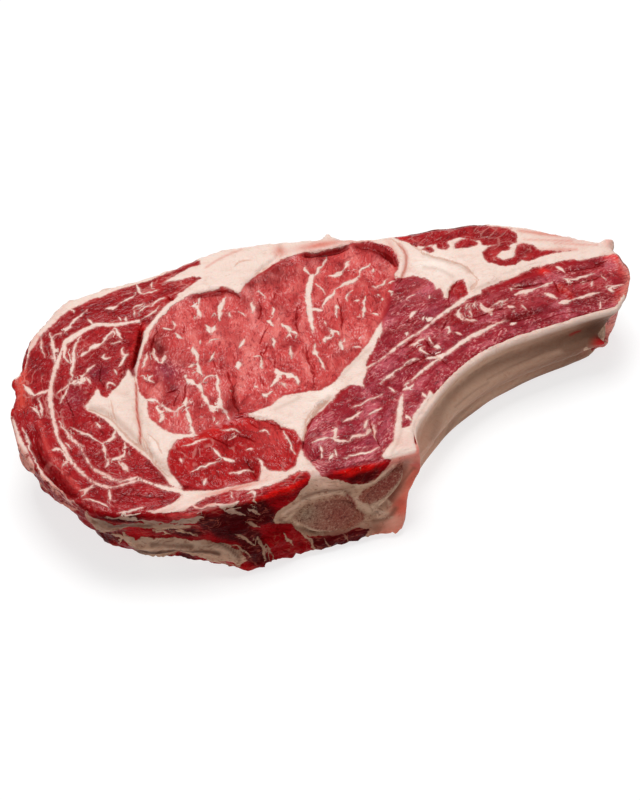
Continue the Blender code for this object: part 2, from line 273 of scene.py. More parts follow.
def patch(plan, middle, half, turn=0.0):
    """1 in the middle of a soft oval patch, fading away past its half width."""
    turn = math.radians(turn)
    off = plan - middle
    along, across = off @ (math.cos(turn), math.sin(turn)), off @ (-math.sin(turn), math.cos(turn))
    share = np.column_stack([along, across]) / half
    return np.exp(-((share**2).sum(1)) * PATCH_FALL)


def ripple(points, reach, seed=0.0):
    """Smooth noise in -1..1 at each point, with features about reach across."""
    shifted = points / reach + seed
    return np.array([noise.noise(Vector(p)) for p in shifted])


def read_skin(piece):
    """A piece's points and normals in mm."""
    count = len(piece.data.vertices)
    points, normals = np.empty(count * 3), np.empty(count * 3)
    piece.data.vertices.foreach_get("co", points)
    piece.data.vertex_normals.foreach_get("vector", normals)
    return points.reshape(-1, 3) / MM, normals.reshape(-1, 3)


def write_skin(piece, points):
    """Moves a piece's points to where they are given in mm."""
    piece.data.vertices.foreach_set("co", (points * MM).ravel())
    piece.data.update()


points, normals = read_skin(steak)
plan = as_read(points)
print("map covers", plan.min(0).round(), "to", plan.max(0).round(), "mm")

# %% [markdown]
# ## The map of fat and lean
#
# A rib steak is a round loin muscle, the eye, with a cap of smaller muscles wrapped round its left end, an
# oval muscle below it, and thin muscles along the rib. Fat fills what lies between them. Bodies of fat are
# outlines, lean islands cut into them, and wide seams are lines with a half width at each end.

# %% Outline the eye and the oval muscle
def area(outline):
    """Area inside an outline in square cm."""
    x, y = np.array(outline, float).T
    return abs(x @ np.roll(y, -1) - y @ np.roll(x, -1)) / 200


EYE = [
    (-84, 10), (-82, 16), (-79.5, 23), (-76, 29), (-72, 34), (-67, 39.5), (-62, 43.5), (-57, 46.5),
    (-50, 48), (-42, 48.5), (-36, 48.5), (-33, 46), (-30.5, 42.5), (-28, 45), (-24, 48.5), (-17, 52.5),
    (-8, 56.5), (0, 57.5), (4, 58.5), (10, 56), (20, 55.5), (27, 57), (33, 55.5), (38, 51), (40, 46),
    (40.5, 40), (40, 36), (37, 31.5), (31, 20), (24.5, 9), (15, -1), (5, -9), (0, -12.5), (-6, -18),
    (-14, -20.5), (-18, -19.5), (-27, -18.5), (-34, -22.5), (-40, -23.5), (-49, -21.5), (-52, -24.5),
    (-60, -27), (-66, -28), (-72, -27), (-77, -25), (-80.5, -21.5), (-82, -17.5), (-84.5, -14), (-84, -9),
    (-82, -5), (-85, 0),
]
OVAL = [
    (-83, -40), (-81, -34.5), (-77, -29.5), (-72, -28.5), (-66, -29), (-58, -26), (-50, -25), (-45, -26.5),
    (-38, -29), (-34, -32), (-32, -36), (-28, -36), (-27, -40), (-28, -45), (-31, -51), (-34, -55),
    (-38, -57), (-48, -56), (-52, -58), (-60, -57.5), (-68, -57), (-74, -55), (-79, -51), (-82, -46),
]
print("eye covers", round(area(EYE)), "and the oval muscle", round(area(OVAL)), "square cm")

# %% Outline the bodies of fat
LEFT_TRIANGLE = [
    (-86.3, 14.8), (-88, 11), (-92, 7), (-96, 3.8), (-98.5, 1.2), (-100.3, 3), (-101, 7), (-104, 4),
    (-106, 1.5), (-108.5, -0.5), (-107, -3), (-104.5, -6), (-102, -9), (-100.5, -13), (-98.5, -18),
    (-96.5, -22), (-93, -29), (-91, -33), (-88, -38), (-86, -43), (-85, -47), (-84, -50), (-80, -54),
    (-81, -49), (-83, -44), (-82.8, -38), (-80, -33), (-77, -29.2), (-74, -28.2), (-69, -28.8),
    (-69, -27.4), (-72, -27), (-77, -25), (-80.5, -21.5), (-82, -17.5), (-84.5, -14), (-84, -9),
    (-82.5, -5), (-84.8, 0), (-84.3, 7),
]
BACK_FAT = [
    (-47, 64), (-55, 60.5), (-61, 58.5), (-55, 58), (-50, 58.3), (-44, 57.6), (-43.3, 56.3), (-50, 52.8),
    (-56, 49.5), (-50, 48), (-42, 48.7), (-36, 48.7), (-33, 46.5), (-30.5, 42.5), (-28, 45.5), (-24, 48.7),
    (-17, 53), (-8, 57), (0, 58), (4, 58.6), (10, 57.3), (20, 57.2), (27, 58), (33, 57), (39, 53.5),
    (42, 50), (43, 44), (41.5, 38), (38, 31), (37.5, 32), (39.5, 36), (44, 33), (48, 38), (46.5, 47),
    (44.5, 54), (45, 61), (30, 64), (18, 70), (-6, 74), (-30, 76), (-50, 72), (-60, 68), (-64, 63.5),
    (-55, 65.2), (-46, 67.8), (-41.5, 67), (-41.5, 64.8),
]
BACK_RIM = [
    (-133, 22), (-127.6, 28), (-123.7, 36.4), (-119.3, 41.7), (-113.4, 46.9), (-108.7, 50.9),
    (-101.9, 55.2), (-93, 58), (-88, 57.8), (-83, 60), (-72, 61), (-60, 63), (-50, 66), (-42, 68),
    (-42, 74), (-66, 71), (-96, 68), (-118, 58), (-130, 44), (-136, 30),
]
CENTRE_FAT = [
    (-45, -24), (-34, -22.3), (-28, -18.6), (-17, -19.5), (-12, -20.5), (-5, -17.5), (0, -12.5), (8, -7),
    (15, -1), (24, 9), (22.5, 4.5), (19, -1), (13, -8), (10, -13), (9, -17), (6, -21), (5.3, -24.5),
    (4, -23), (0, -21.5), (-5, -23), (-9, -27), (-16, -31), (-22, -35), (-25, -40), (-27, -44), (-29, -37),
    (-33, -34.5), (-36, -30), (-42, -27.5),
]
RIGHT_FAT = [
    (43, 58), (46, 54.5), (50, 50.5), (53, 47.8), (57, 46), (66, 46), (72, 47), (80, 46), (84, 42),
    (95, 43), (99, 47), (91, 55), (104, 49), (118, 42), (130, 33), (142, 30), (142, 18), (132, 17.3),
    (120, 18.3), (112, 20), (98, 19.7), (90, 17.6), (80, 15.5), (72, 14), (65, 12.4), (65.5, 15.5),
    (65.6, 19), (66, 22), (63.4, 22), (60.3, 21), (58, 17.8), (55.8, 13.9), (54.4, 14.6), (55, 17.8),
    (54.7, 20.4), (52.6, 19.8), (52.6, 24.2), (50.5, 28), (47, 30), (42, 31), (38.5, 32), (43, 40),
    (44, 48), (42, 54),
]
CORNER_FAT = [
    (1, -61), (4, -58), (8, -55), (10, -50), (13, -44), (18, -33.5), (20.3, -31), (17, -40), (14.5, -46),
    (13.2, -49.5), (17, -49.5), (19.5, -45), (23, -42), (27, -38), (31, -34), (33, -38), (18, -58),
    (19, -68), (4, -68),
]
LOWER_FAT = [
    (-82, -54), (-75, -56.5), (-68, -57.8), (-60, -58.3), (-50, -58.8), (-48.5, -56), (-46, -52),
    (-44, -55), (-38, -57.5), (-34, -55.5), (-30.5, -50), (-28.5, -46), (-28.8, -52), (-26, -60),
    (-25, -64), (-28.5, -64), (-30, -60), (-33, -58.4), (-38, -60.2), (-46, -62.5), (-54, -62), (-62, -60),
    (-70, -60.3), (-78, -62.5), (-84, -65.2), (-92, -64), (-96, -60.5), (-90, -60.5), (-86, -59.5),
    (-81, -57),
]
FAT_BODIES = [LEFT_TRIANGLE, BACK_FAT, BACK_RIM, CENTRE_FAT, RIGHT_FAT, CORNER_FAT, LOWER_FAT]
print(len(FAT_BODIES), "bodies of fat cover", round(sum(area(body) for body in FAT_BODIES)), "square cm")

# %% Outline the lean islands in the fat
CAP_STRIP = [
    (45.5, 55), (47, 60), (70, 58), (84, 55.5), (90, 51), (95, 46.5), (98.5, 41.5), (96.5, 36.5), (93, 36),
    (89, 37), (85, 38), (81.3, 39.5), (81, 42.5), (76, 44.8), (73, 47), (67, 47.5), (66, 49.8), (60.5, 50),
    (57, 47.6), (53, 47.6), (50, 50.3),
]
STRIP_LOBES = [
    [(61.7, 51), (61.5, 43.5), (65, 41), (67, 43), (66.5, 51)],
    [(54.8, 45), (57, 46.4), (59.3, 45.4), (59.3, 41.6), (57, 42)],
    [(69, 41), (69.5, 44.3), (73, 45), (76, 46), (79, 43), (80, 41.5), (79, 39.9), (74, 39.9)],
]
RING = [
    (79, 31), (79.7, 35), (83, 37.7), (88, 38), (92, 37), (93, 34.5), (91.5, 32.8), (88, 33.5), (85, 31),
    (86.5, 29), (89, 28), (91, 28.7), (93.5, 29.5), (95, 28), (94, 25.6), (91, 24), (86.5, 24.2),
    (83, 26.5), (80, 28.5),
]
WEDGE = [
    (93, 31), (96, 34.8), (99, 35.3), (102.5, 33.5), (104, 29.5), (109, 27.5), (118, 24.4), (110, 25.4),
    (103, 25), (97, 23.7), (94.5, 26), (93, 28.5),
]
LEAN_ISLANDS = [CAP_STRIP, *STRIP_LOBES, RING, WEDGE]
print(len(LEAN_ISLANDS), "islands of lean")

# %% [markdown]
# A seam is the sheet of fat between two muscles, cut across. It could be an outline as well, but a line
# with a half width at each end takes half the points, and a thin seam can't pinch shut by mistake.

# %% Draw the wide seams: a half width at each end, and the line between
WIDE_SEAMS = [
    (1.1, 1.2, (-50, 49.4), (-55, 48), (-60, 45.3), (-65, 41.3), (-70, 36.7), (-74, 32)),
    (1.2, 0.66, (-74, 32), (-77, 26.7), (-80, 21), (-83, 14), (-85, 8)),
    (0.74, 1.3, (-75.5, 39.8), (-80, 40.2), (-86, 40), (-90, 42.3), (-94, 43), (-98, 41.5), (-104, 39.5),
        (-108, 37.2)),
    (0.74, 0.82, (-108, 37.2), (-110.5, 33), (-113.3, 28), (-116.3, 22), (-119, 15), (-121, 8)),
    (0.82, 0.6, (-121, 8), (-121.7, 0), (-122, -6), (-122.3, -12), (-121, -20), (-119.6, -27)),
    (0.6, 0.5, (-119.6, -27), (-117.5, -33), (-114.5, -38.5), (-111, -42.5), (-107, -45), (-103, -44.5),
        (-97, -44.3)),
    (0.25, 0.5, (-118.8, -5), (-118.6, -10), (-116.3, -17), (-114, -21.5), (-113.5, -28), (-112, -33.5),
        (-108, -37.5), (-105, -42), (-100, -42.8), (-96.5, -42.5)),
    (0.55, 0.95, (-96.5, -42.5), (-93.5, -45.5), (-89.5, -49), (-85.5, -52), (-81, -54.2)),
    (0.3, 0.6, (9, -14.5), (15, -12.4), (22, -8.8), (30, -4.5), (38, -1.6), (45, 2.5)),
    (0.6, 1.3, (45, 2.5), (52, 6), (58, 8.8), (64, 11.8), (70, 13.3)),
    (0.35, 1.1, (22, -28), (27, -25.5), (31, -23), (35, -20.7), (42, -18), (50, -13.8), (57, -10.8)),
    (1.1, 0.3, (57, -10.8), (63, -9.2), (68, -7.3), (76, -6)),
    (0.9, 1.0, (137.5, 13.7), (139, 9.2), (138.3, 4.8), (136.3, 0), (132.4, -6.3), (128.8, -11.4),
        (126, -14.6)),
    (1.2, 1.3, (3, 43.2), (0.7, 39), (-1.2, 34), (-2.8, 29), (-3.6, 23.8)),
    (1.2, 0.5, (-3.6, 23.8), (-4.5, 20), (-5.2, 16), (-5.8, 12)),
    (0.5, 1.0, (88.8, 50.1), (93.9, 47.9), (99.2, 46), (101, 43.8)),
]

print(len(WIDE_SEAMS), "seams")

# %% [markdown]
# Marbling is the thin fat inside a muscle. Each strand is a short line with a half width that tapers
# towards its ends. Only the strands that catch the eye are listed; the shader fills in the rest.

# %% Draw the eye's strands: a half width and a line
EYE_STRANDS = [
    (0.6, (-47, 45.8), (-48.3, 42.9), (-49.5, 40.5)), (1.0, (-51.9, 41.3), (-50.4, 40.8), (-49.8, 38.9)),
    (0.8, (-49.7, 39.5), (-49.8, 37.2), (-49.6, 34.4)),
    (1.0, (-36.3, 42.3), (-38.4, 39.2), (-40.4, 36), (-41.6, 33.3), (-42.4, 29.7)),
    (0.4, (-38.3, 39.8), (-37.9, 38.4)), (0.8, (-49, 29.2), (-48.5, 26.4), (-47.9, 23.2)),
    (0.7, (-47.9, 23.2), (-46.5, 25.3), (-44.8, 27.4)), (0.6, (-67.1, 32.4), (-64.9, 32.2), (-63.1, 30.8)),
    (0.45, (-62.5, 31), (-61.7, 33.8), (-61.8, 35.8)), (0.6, (-62.5, 28.3), (-61.8, 26.1), (-60, 24.2)),
    (0.7, (-26, 36.4), (-26.4, 33.5), (-27.8, 29.8)), (0.4, (-21.6, 42), (-20.9, 39.3), (-20.3, 37.1)),
    (0.6, (-54.3, 19.3), (-53, 21.1)), (0.3, (-50.3, 18.3), (-47.9, 20.5), (-45.1, 20)),
    (0.4, (-19.9, 38.4), (-20, 36.3)), (0.35, (-31, 28.1), (-32.2, 31.1), (-33.2, 32.8)),
    (0.4, (-52.6, 34.3), (-51.5, 34.3)), (0.35, (-43.2, 35.2), (-45, 33)),
    (0.35, (-37.4, 33.1), (-37, 29.9)), (0.6, (-22.8, 23.9), (-21.2, 22.4), (-21, 19.9)),
    (0.7, (-18, 30.9), (-19.6, 25.6)), (1.1, (-22.6, 23.6), (-21.4, 22.6)),
    (0.9, (-17.1, 20.4), (-15.5, 16.6), (-14.8, 14)), (1, (-14.8, 14), (-12.7, 12.7)),
    (0.5, (-14.8, 14), (-16.7, 13.3), (-17.6, 11.9)), (0.5, (-12.7, 12.7), (-14.1, 10.5)),
    (0.7, (-23.3, 13.6), (-24.2, 7.9)), (1, (-35.2, 15.9), (-37.2, 13.9), (-38.6, 12.4)),
    (0.5, (-17.5, 7.2), (-18.3, 2.9), (-18.7, -0.3)), (0.6, (-34.2, 5.4), (-32.5, 5.3), (-31, 5.4)),
    (0.6, (-31, 5.4), (-31.3, 3.6), (-32.5, -2.2)), (1.2, (-40.4, 5), (-42.1, 0.7)),
    (1.4, (-27.1, -3.9), (-26.8, -6.9), (-24.2, -6.8)), (1.3, (-24.2, -6.8), (-21.5, -8.8), (-19.8, -9.6)),
    (0.9, (-20.2, -9.6), (-20.1, -14.7)), (0.9, (-26.8, -6.9), (-29.3, -10.6), (-31.7, -12.4)),
    (0.4, (-26.4, -11.5), (-25.4, -15.6)), (0.6, (-6.8, 5.3), (-8.1, 1.7)), (1, (-8.1, 1.7), (-8.1, -1.6)),
    (0.6, (-8.1, -1.6), (-7.6, -6.3), (-7.6, -10.2)), (0.5, (-37.8, -9.9), (-37.3, -11.6)),
    (0.9, (-35.8, -14.9), (-34.8, -16.5), (-33.8, -16.2)), (0.7, (-33.8, -16.2), (-31.8, -15.2)),
    (0.5, (1.7, 50), (2.1, 46.3), (2.7, 43.9)), (0.7, (3.1, 43.7), (5.3, 43.2), (7.1, 46.7), (9, 47.9)),
    (0.6, (9, 47.9), (11.7, 50.5), (12.3, 53.5)),
    (0.9, (1.6, 22.9), (3.5, 26.5), (5.7, 29), (8.5, 30.2), (11.3, 33)),
    (0.8, (11.3, 33), (14.6, 34.6), (17.5, 34.9), (20.7, 35.3), (23, 37.8)),
    (0.6, (23, 37.8), (25.3, 41.5), (28, 42.1), (30.2, 43.4)),
    (0.9, (-3.6, 23.8), (-0.6, 24.1), (1.9, 22.9)),
    (0.8, (10.5, 41.6), (12.3, 40.5), (14.9, 41.3), (17.5, 42.8)),
    (0.7, (17.5, 42.8), (19.3, 44.6), (20, 46.8), (21.4, 47.3)),
    (0.35, (3.2, 38.9), (4.3, 36.4), (5.6, 33.3), (6, 31)),
    (0.4, (18, 29.9), (15.1, 29), (13.4, 26.8), (13.4, 24.6)), (0.5, (16.5, 23.6), (18.8, 23.5)),
    (0.6, (22.1, 25.3), (20, 22), (18.9, 18.9)), (0.8, (19.1, 19.6), (18.2, 16.1)),
    (0.3, (18.2, 16.1), (16.9, 13.1)), (0.9, (8.6, 23.6), (7.5, 21.6)), (0.5, (7.7, 21.7), (6.5, 16.6)),
    (0.3, (14.5, 14.8), (16.4, 14.3)), (0.6, (21.6, 14.6), (23.9, 13)), (0.7, (30.1, 40), (29.4, 37.8)),
    (0.5, (28.7, 35.7), (29, 35.2)), (0.45, (19.2, 41.6), (20, 41.7)), (0.45, (21.5, 41.6), (22.6, 41.6)),
    (0.5, (34.9, 31.7), (32.1, 30.4), (29.4, 29)), (0.35, (29.4, 29), (27.6, 28.3), (26.8, 30.4)),
    (0.8, (33.1, 25.3), (32.9, 23.5)), (0.5, (28, 24.7), (28, 23.6)), (0.5, (28.7, 22.1), (28.2, 20.5)),
    (0.6, (1.5, 11.9), (1.5, 9.6), (3.7, 8.8), (4.1, 6.5)), (0.6, (1.7, 9.6), (1, 7.2)),
    (0.9, (1, 7), (-0.9, 6.8), (-2.5, 7)), (0.6, (-2.5, 7), (-3, 4.3)), (0.35, (0.5, 16.4), (0.8, 13.5)),
    (0.8, (3, 3.3), (3.6, 1.8), (2.9, -1.7)), (0.5, (5.6, 4.3), (4.9, 1.4)),
    (0.5, (8, -1.4), (9.9, -1.5), (11.3, -2.6)), (0.3, (12.5, 3.4), (11.5, 2.3)),
    (0.5, (33.4, 29), (36.8, 29.9)), (0.7, (-73.6, 23.6), (-74, 19.9), (-73.7, 16.5), (-72.7, 14)),
    (0.8, (-72.7, 14), (-71.1, 13.8), (-69.9, 16), (-69.5, 17.5)),
    (0.6, (-76.1, 21.3), (-77.7, 17.8), (-79.1, 14.8), (-80.6, 13.1)),
    (0.9, (-56.6, 18.9), (-57.3, 14.2), (-57.4, 10.3)), (0.7, (-57.4, 10.3), (-57.4, 6.4), (-57.6, 1.6)),
    (0.3, (-61.9, 8.2), (-59.8, 8.4), (-58.1, 8.9)), (0.3, (-61.3, 4.8), (-59, 4.9)),
    (0.3, (-57.9, 5.7), (-56.2, 5.7)), (0.5, (-49, 13.4), (-50.9, 10.9), (-53.2, 8.6)),
    (0.6, (-63.7, 4.5), (-64.7, 2.5)), (1.1, (-64.3, 1.9), (-62.6, -0.4), (-60.8, -2.2)),
    (1.2, (-60.8, -2.2), (-59.9, -3.8), (-59.5, -5.2)), (0.6, (-58.6, -1.8), (-59.4, -5.2), (-59.8, -8.4)),
    (0.8, (-59.9, -7.6), (-59.3, -11.6), (-58.7, -14.9)),
    (1.1, (-58.9, -14.7), (-57.7, -16.5), (-58.2, -18.8)),
    (0.5, (-58.3, -1.9), (-55.7, 0.1), (-53.6, 0.8), (-51.4, 0.4)),
    (0.7, (-51.3, 1.4), (-51.7, -1.8), (-52.6, -6.6), (-53.7, -11.4)),
    (1.0, (-53.7, -11.4), (-54.3, -15.3), (-53.9, -18.3)), (0.7, (-53.9, -18.3), (-53.2, -21.4)),
    (1.0, (-58.2, -16.4), (-55.7, -16.8), (-54, -16.3)), (0.5, (-52.8, -22.3), (-52.8, -24.9)),
    (0.45, (-48.4, -8.9), (-47.2, -8.8)), (1.0, (-67, -7.9), (-67.9, -10.8), (-67.9, -13.4)),
    (0.9, (-67.9, -13.4), (-68.7, -18.6), (-69.4, -22.8)),
    (0.8, (-69.4, -22.8), (-68.9, -26.7), (-67.6, -28.9)),
    (0.6, (-68.6, -12), (-70.7, -13.4), (-72.7, -14)),
    (0.5, (-72.7, -14), (-74.8, -12.9), (-76.8, -10), (-77.7, -7.8)), (0.5, (-67.2, -12.9), (-66.5, -13.8)),
    (0.4, (-64.7, -10.5), (-66.4, -10.7)), (0.4, (-62.4, -14.4), (-61.7, -14.6)),
    (0.6, (-59.2, -21.6), (-58.5, -23.4)), (0.5, (-82.3, 8.7), (-80.7, 9.1), (-80.8, 6.1)),
    (0.6, (-77.2, 8), (-78.9, 7.2), (-79.2, 5.2), (-77.8, 3.6)),
    (0.9, (-83.1, -4.4), (-80.9, -5.3), (-78.6, -6.4)), (0.8, (-80, -8.9), (-79.1, -11.7), (-77.4, -12.4)),
    (0.7, (-79, -13), (-79.2, -15.4), (-80.6, -17.8)), (0.3, (-72.5, -15.1), (-73.5, -17.5)),
    (0.4, (-75.5, -16), (-75.3, -16.8)), (0.4, (-80.6, -3.8), (-78.9, -6.8), (-77.8, -9.7)),
    (0.4, (-59.1, -25.3), (-56.9, -24.1)), (0.3, (-64.3, -20), (-63.6, -20.9)),
]
EYE_WIDER = 1.12  # the eye's strands melt into the lean, so they show a little wider than they read
print(len(EYE_STRANDS), "strands in the eye")

# %% Draw the cap's strands
CAP_STRANDS = [
    (0.9, (-107.5, 38), (-111, 31), (-109, 25)),
    (0.7, (-101.2, 38.1), (-106.2, 31.7), (-107.9, 23.1), (-109.4, 18.4), (-111.3, 13.8)),
    (0.7, (-86.5, 39), (-89.5, 35.3), (-91.8, 33.3), (-93, 31.2)),
    (1.0, (-93, 31.2), (-97, 31.7), (-99.5, 29.5)), (0.6, (-99.5, 29.3), (-104, 28)),
    (0.8, (-86.3, 39), (-85.8, 34), (-85.2, 31.5)), (0.5, (-85.2, 31), (-90, 30)),
    (0.6, (-94, 25.8), (-95.3, 23), (-92, 23.5)), (0.9, (-84.5, 22.5), (-87, 20), (-89.5, 16.5)),
    (0.5, (-85.5, 27), (-86.5, 23.5), (-84.5, 22)),
    (0.6, (-113, 41.5), (-107, 43.3), (-103, 47), (-99, 50.3), (-95, 52.5)),
    (0.7, (-96, 47.5), (-94.5, 43.5)), (0.5, (-106.5, 44.5), (-109, 42)),
    (1.0, (-87.5, 51.2), (-85, 50.2), (-83, 51)), (0.6, (-83, 51), (-78.5, 53.5), (-73, 55.2)),
    (0.9, (-71.7, 61), (-71.8, 57), (-70.5, 55)), (0.5, (-70.5, 55), (-63, 54.5)),
    (0.7, (-101.8, 55.5), (-101, 52.5)), (0.6, (-80.5, 44), (-81, 41)), (0.6, (-83, 41.5), (-83.5, 44.5)),
    (0.5, (-75, 44), (-72, 46.3), (-68, 47.5)), (0.5, (-76.5, 48), (-71, 49)),
    (0.5, (-74.3, 40.4), (-70.9, 41.5), (-66.7, 44.2), (-64.8, 46)), (0.5, (-75.8, 46.1), (-76.9, 42.5)),
    (0.5, (-66, 57), (-64.5, 60.5)), (0.6, (-61.5, 50), (-66, 48.5), (-68, 46)),
    (1.0, (-130, 18.5), (-128.5, 14), (-126.5, 11.3)), (0.9, (-126.5, 11.3), (-123, 12.5), (-120.5, 13)),
    (0.9, (-114, 35), (-113, 32)), (0.5, (-116, 31), (-114.5, 24)),
    (0.5, (-130, 6), (-127.5, 3), (-127, -1)), (0.5, (-125.8, 11), (-125.5, 0)),
    (0.7, (-117, 4), (-115.5, 8), (-112, 11.5)), (0.7, (-112, 13), (-109, 14.5), (-106, 12)),
    (0.6, (-106.5, 17), (-105.5, 12)), (0.6, (-103.5, 17), (-102, 20), (-99, 20.5)),
    (0.5, (-97.5, 6), (-96, 10), (-93.5, 7)), (0.6, (-91.8, 16), (-92, 12.5)),
    (0.5, (-103.3, 11), (-104, 15)), (0.5, (-121.5, -26), (-118.5, -27)),
    (0.6, (-116.3, -9.6), (-110.6, -15.3), (-108.4, -18.4), (-105.4, -21)),
    (0.6, (-105.4, -21), (-102.1, -20.8), (-98, -16.7), (-98.2, -13.9)),
    (0.6, (-105, -21), (-105.4, -25), (-106, -30)),
    (0.5, (-120, -4.8), (-119.2, -10.2), (-116.4, -16.5), (-113.1, -21.3)),
    (0.5, (-101.2, -30.7), (-100.5, -35.6), (-99, -39)),
    (0.5, (-95.8, -23.2), (-97.7, -27.5), (-96.4, -30.5)),
    (0.5, (-125.3, -19.3), (-122.4, -19.3), (-120.8, -24), (-121.4, -28.8)),
    (0.6, (-113.8, -41.7), (-116.8, -43.2), (-119.6, -45.8)),
    (0.6, (-113.4, 44.5), (-113.6, 36.6), (-114.9, 27.8), (-116.1, 21.1)),
    (0.4, (-117.4, 45.1), (-118.3, 38), (-118.4, 30.9)), (0.5, (-111.3, 13.8), (-117.4, 9.4)),
    (0.6, (-111.3, 13.8), (-105.5, 12.1), (-105.8, 16), (-103.3, 18.1)),
    (0.8, (-105.2, -30), (-101, -30.7), (-98, -29.7), (-96.5, -26.5)), (0.7, (-105, -30.5), (-107.3, -34)),
    (0.6, (-99.7, -33), (-98.8, -39)), (0.6, (-105.7, -10), (-104.8, -13.5)),
    (0.6, (-126, -19), (-123.5, -18.7), (-121.5, -21)), (0.5, (-124, -29), (-120.5, -26)),
    (0.5, (-119.5, -42.5), (-116, -43), (-113.5, -41)), (0.5, (-118.5, -21), (-119.5, -17)),
    (0.8, (-117.3, -33), (-116.4, -35)), (0.8, (-109, -38), (-107.3, -39.5)),
    (0.6, (-108, -45), (-108.5, -51)), (0.5, (-119, -47), (-113, -50.5), (-110, -55)),
    (0.5, (-130.5, -36.5), (-130, -38)), (0.5, (-118.5, -14.5), (-115.5, -17)),
    (0.5, (-119.5, -52), (-112, -57)), (0.7, (-112, -57), (-104, -59), (-97, -58)),
]
print(len(CAP_STRANDS), "strands in the cap")

# %% Draw the strands of the oval muscle and along the rib
OVAL_STRANDS = [
    (0.5, (-75, -33), (-70, -32.4), (-64.5, -31.3)), (0.7, (-62.8, -37), (-62.3, -40), (-60.5, -43)),
    (1.1, (-61, -42.5), (-58.5, -45.3), (-56.8, -46.3)), (0.6, (-75, -46.5), (-68, -45), (-62, -44.3)),
    (0.5, (-58, -29.3), (-53, -29), (-50.3, -32.5)), (0.6, (-42.5, -34.3), (-40, -34), (-39, -37)),
    (0.7, (-47, -47.5), (-45.8, -51), (-47.8, -55)), (0.7, (-69.5, -51.3), (-72, -54.5)),
    (0.6, (-60, -51), (-55.5, -52.3), (-50.5, -52)), (0.7, (-76.5, -38), (-77.3, -40.5)),
    (0.5, (-50.5, -42), (-47.5, -42)), (0.5, (-33.5, -36), (-32.5, -46), (-31.8, -50)),
    (0.4, (-56, -34), (-52, -33.5)),
]
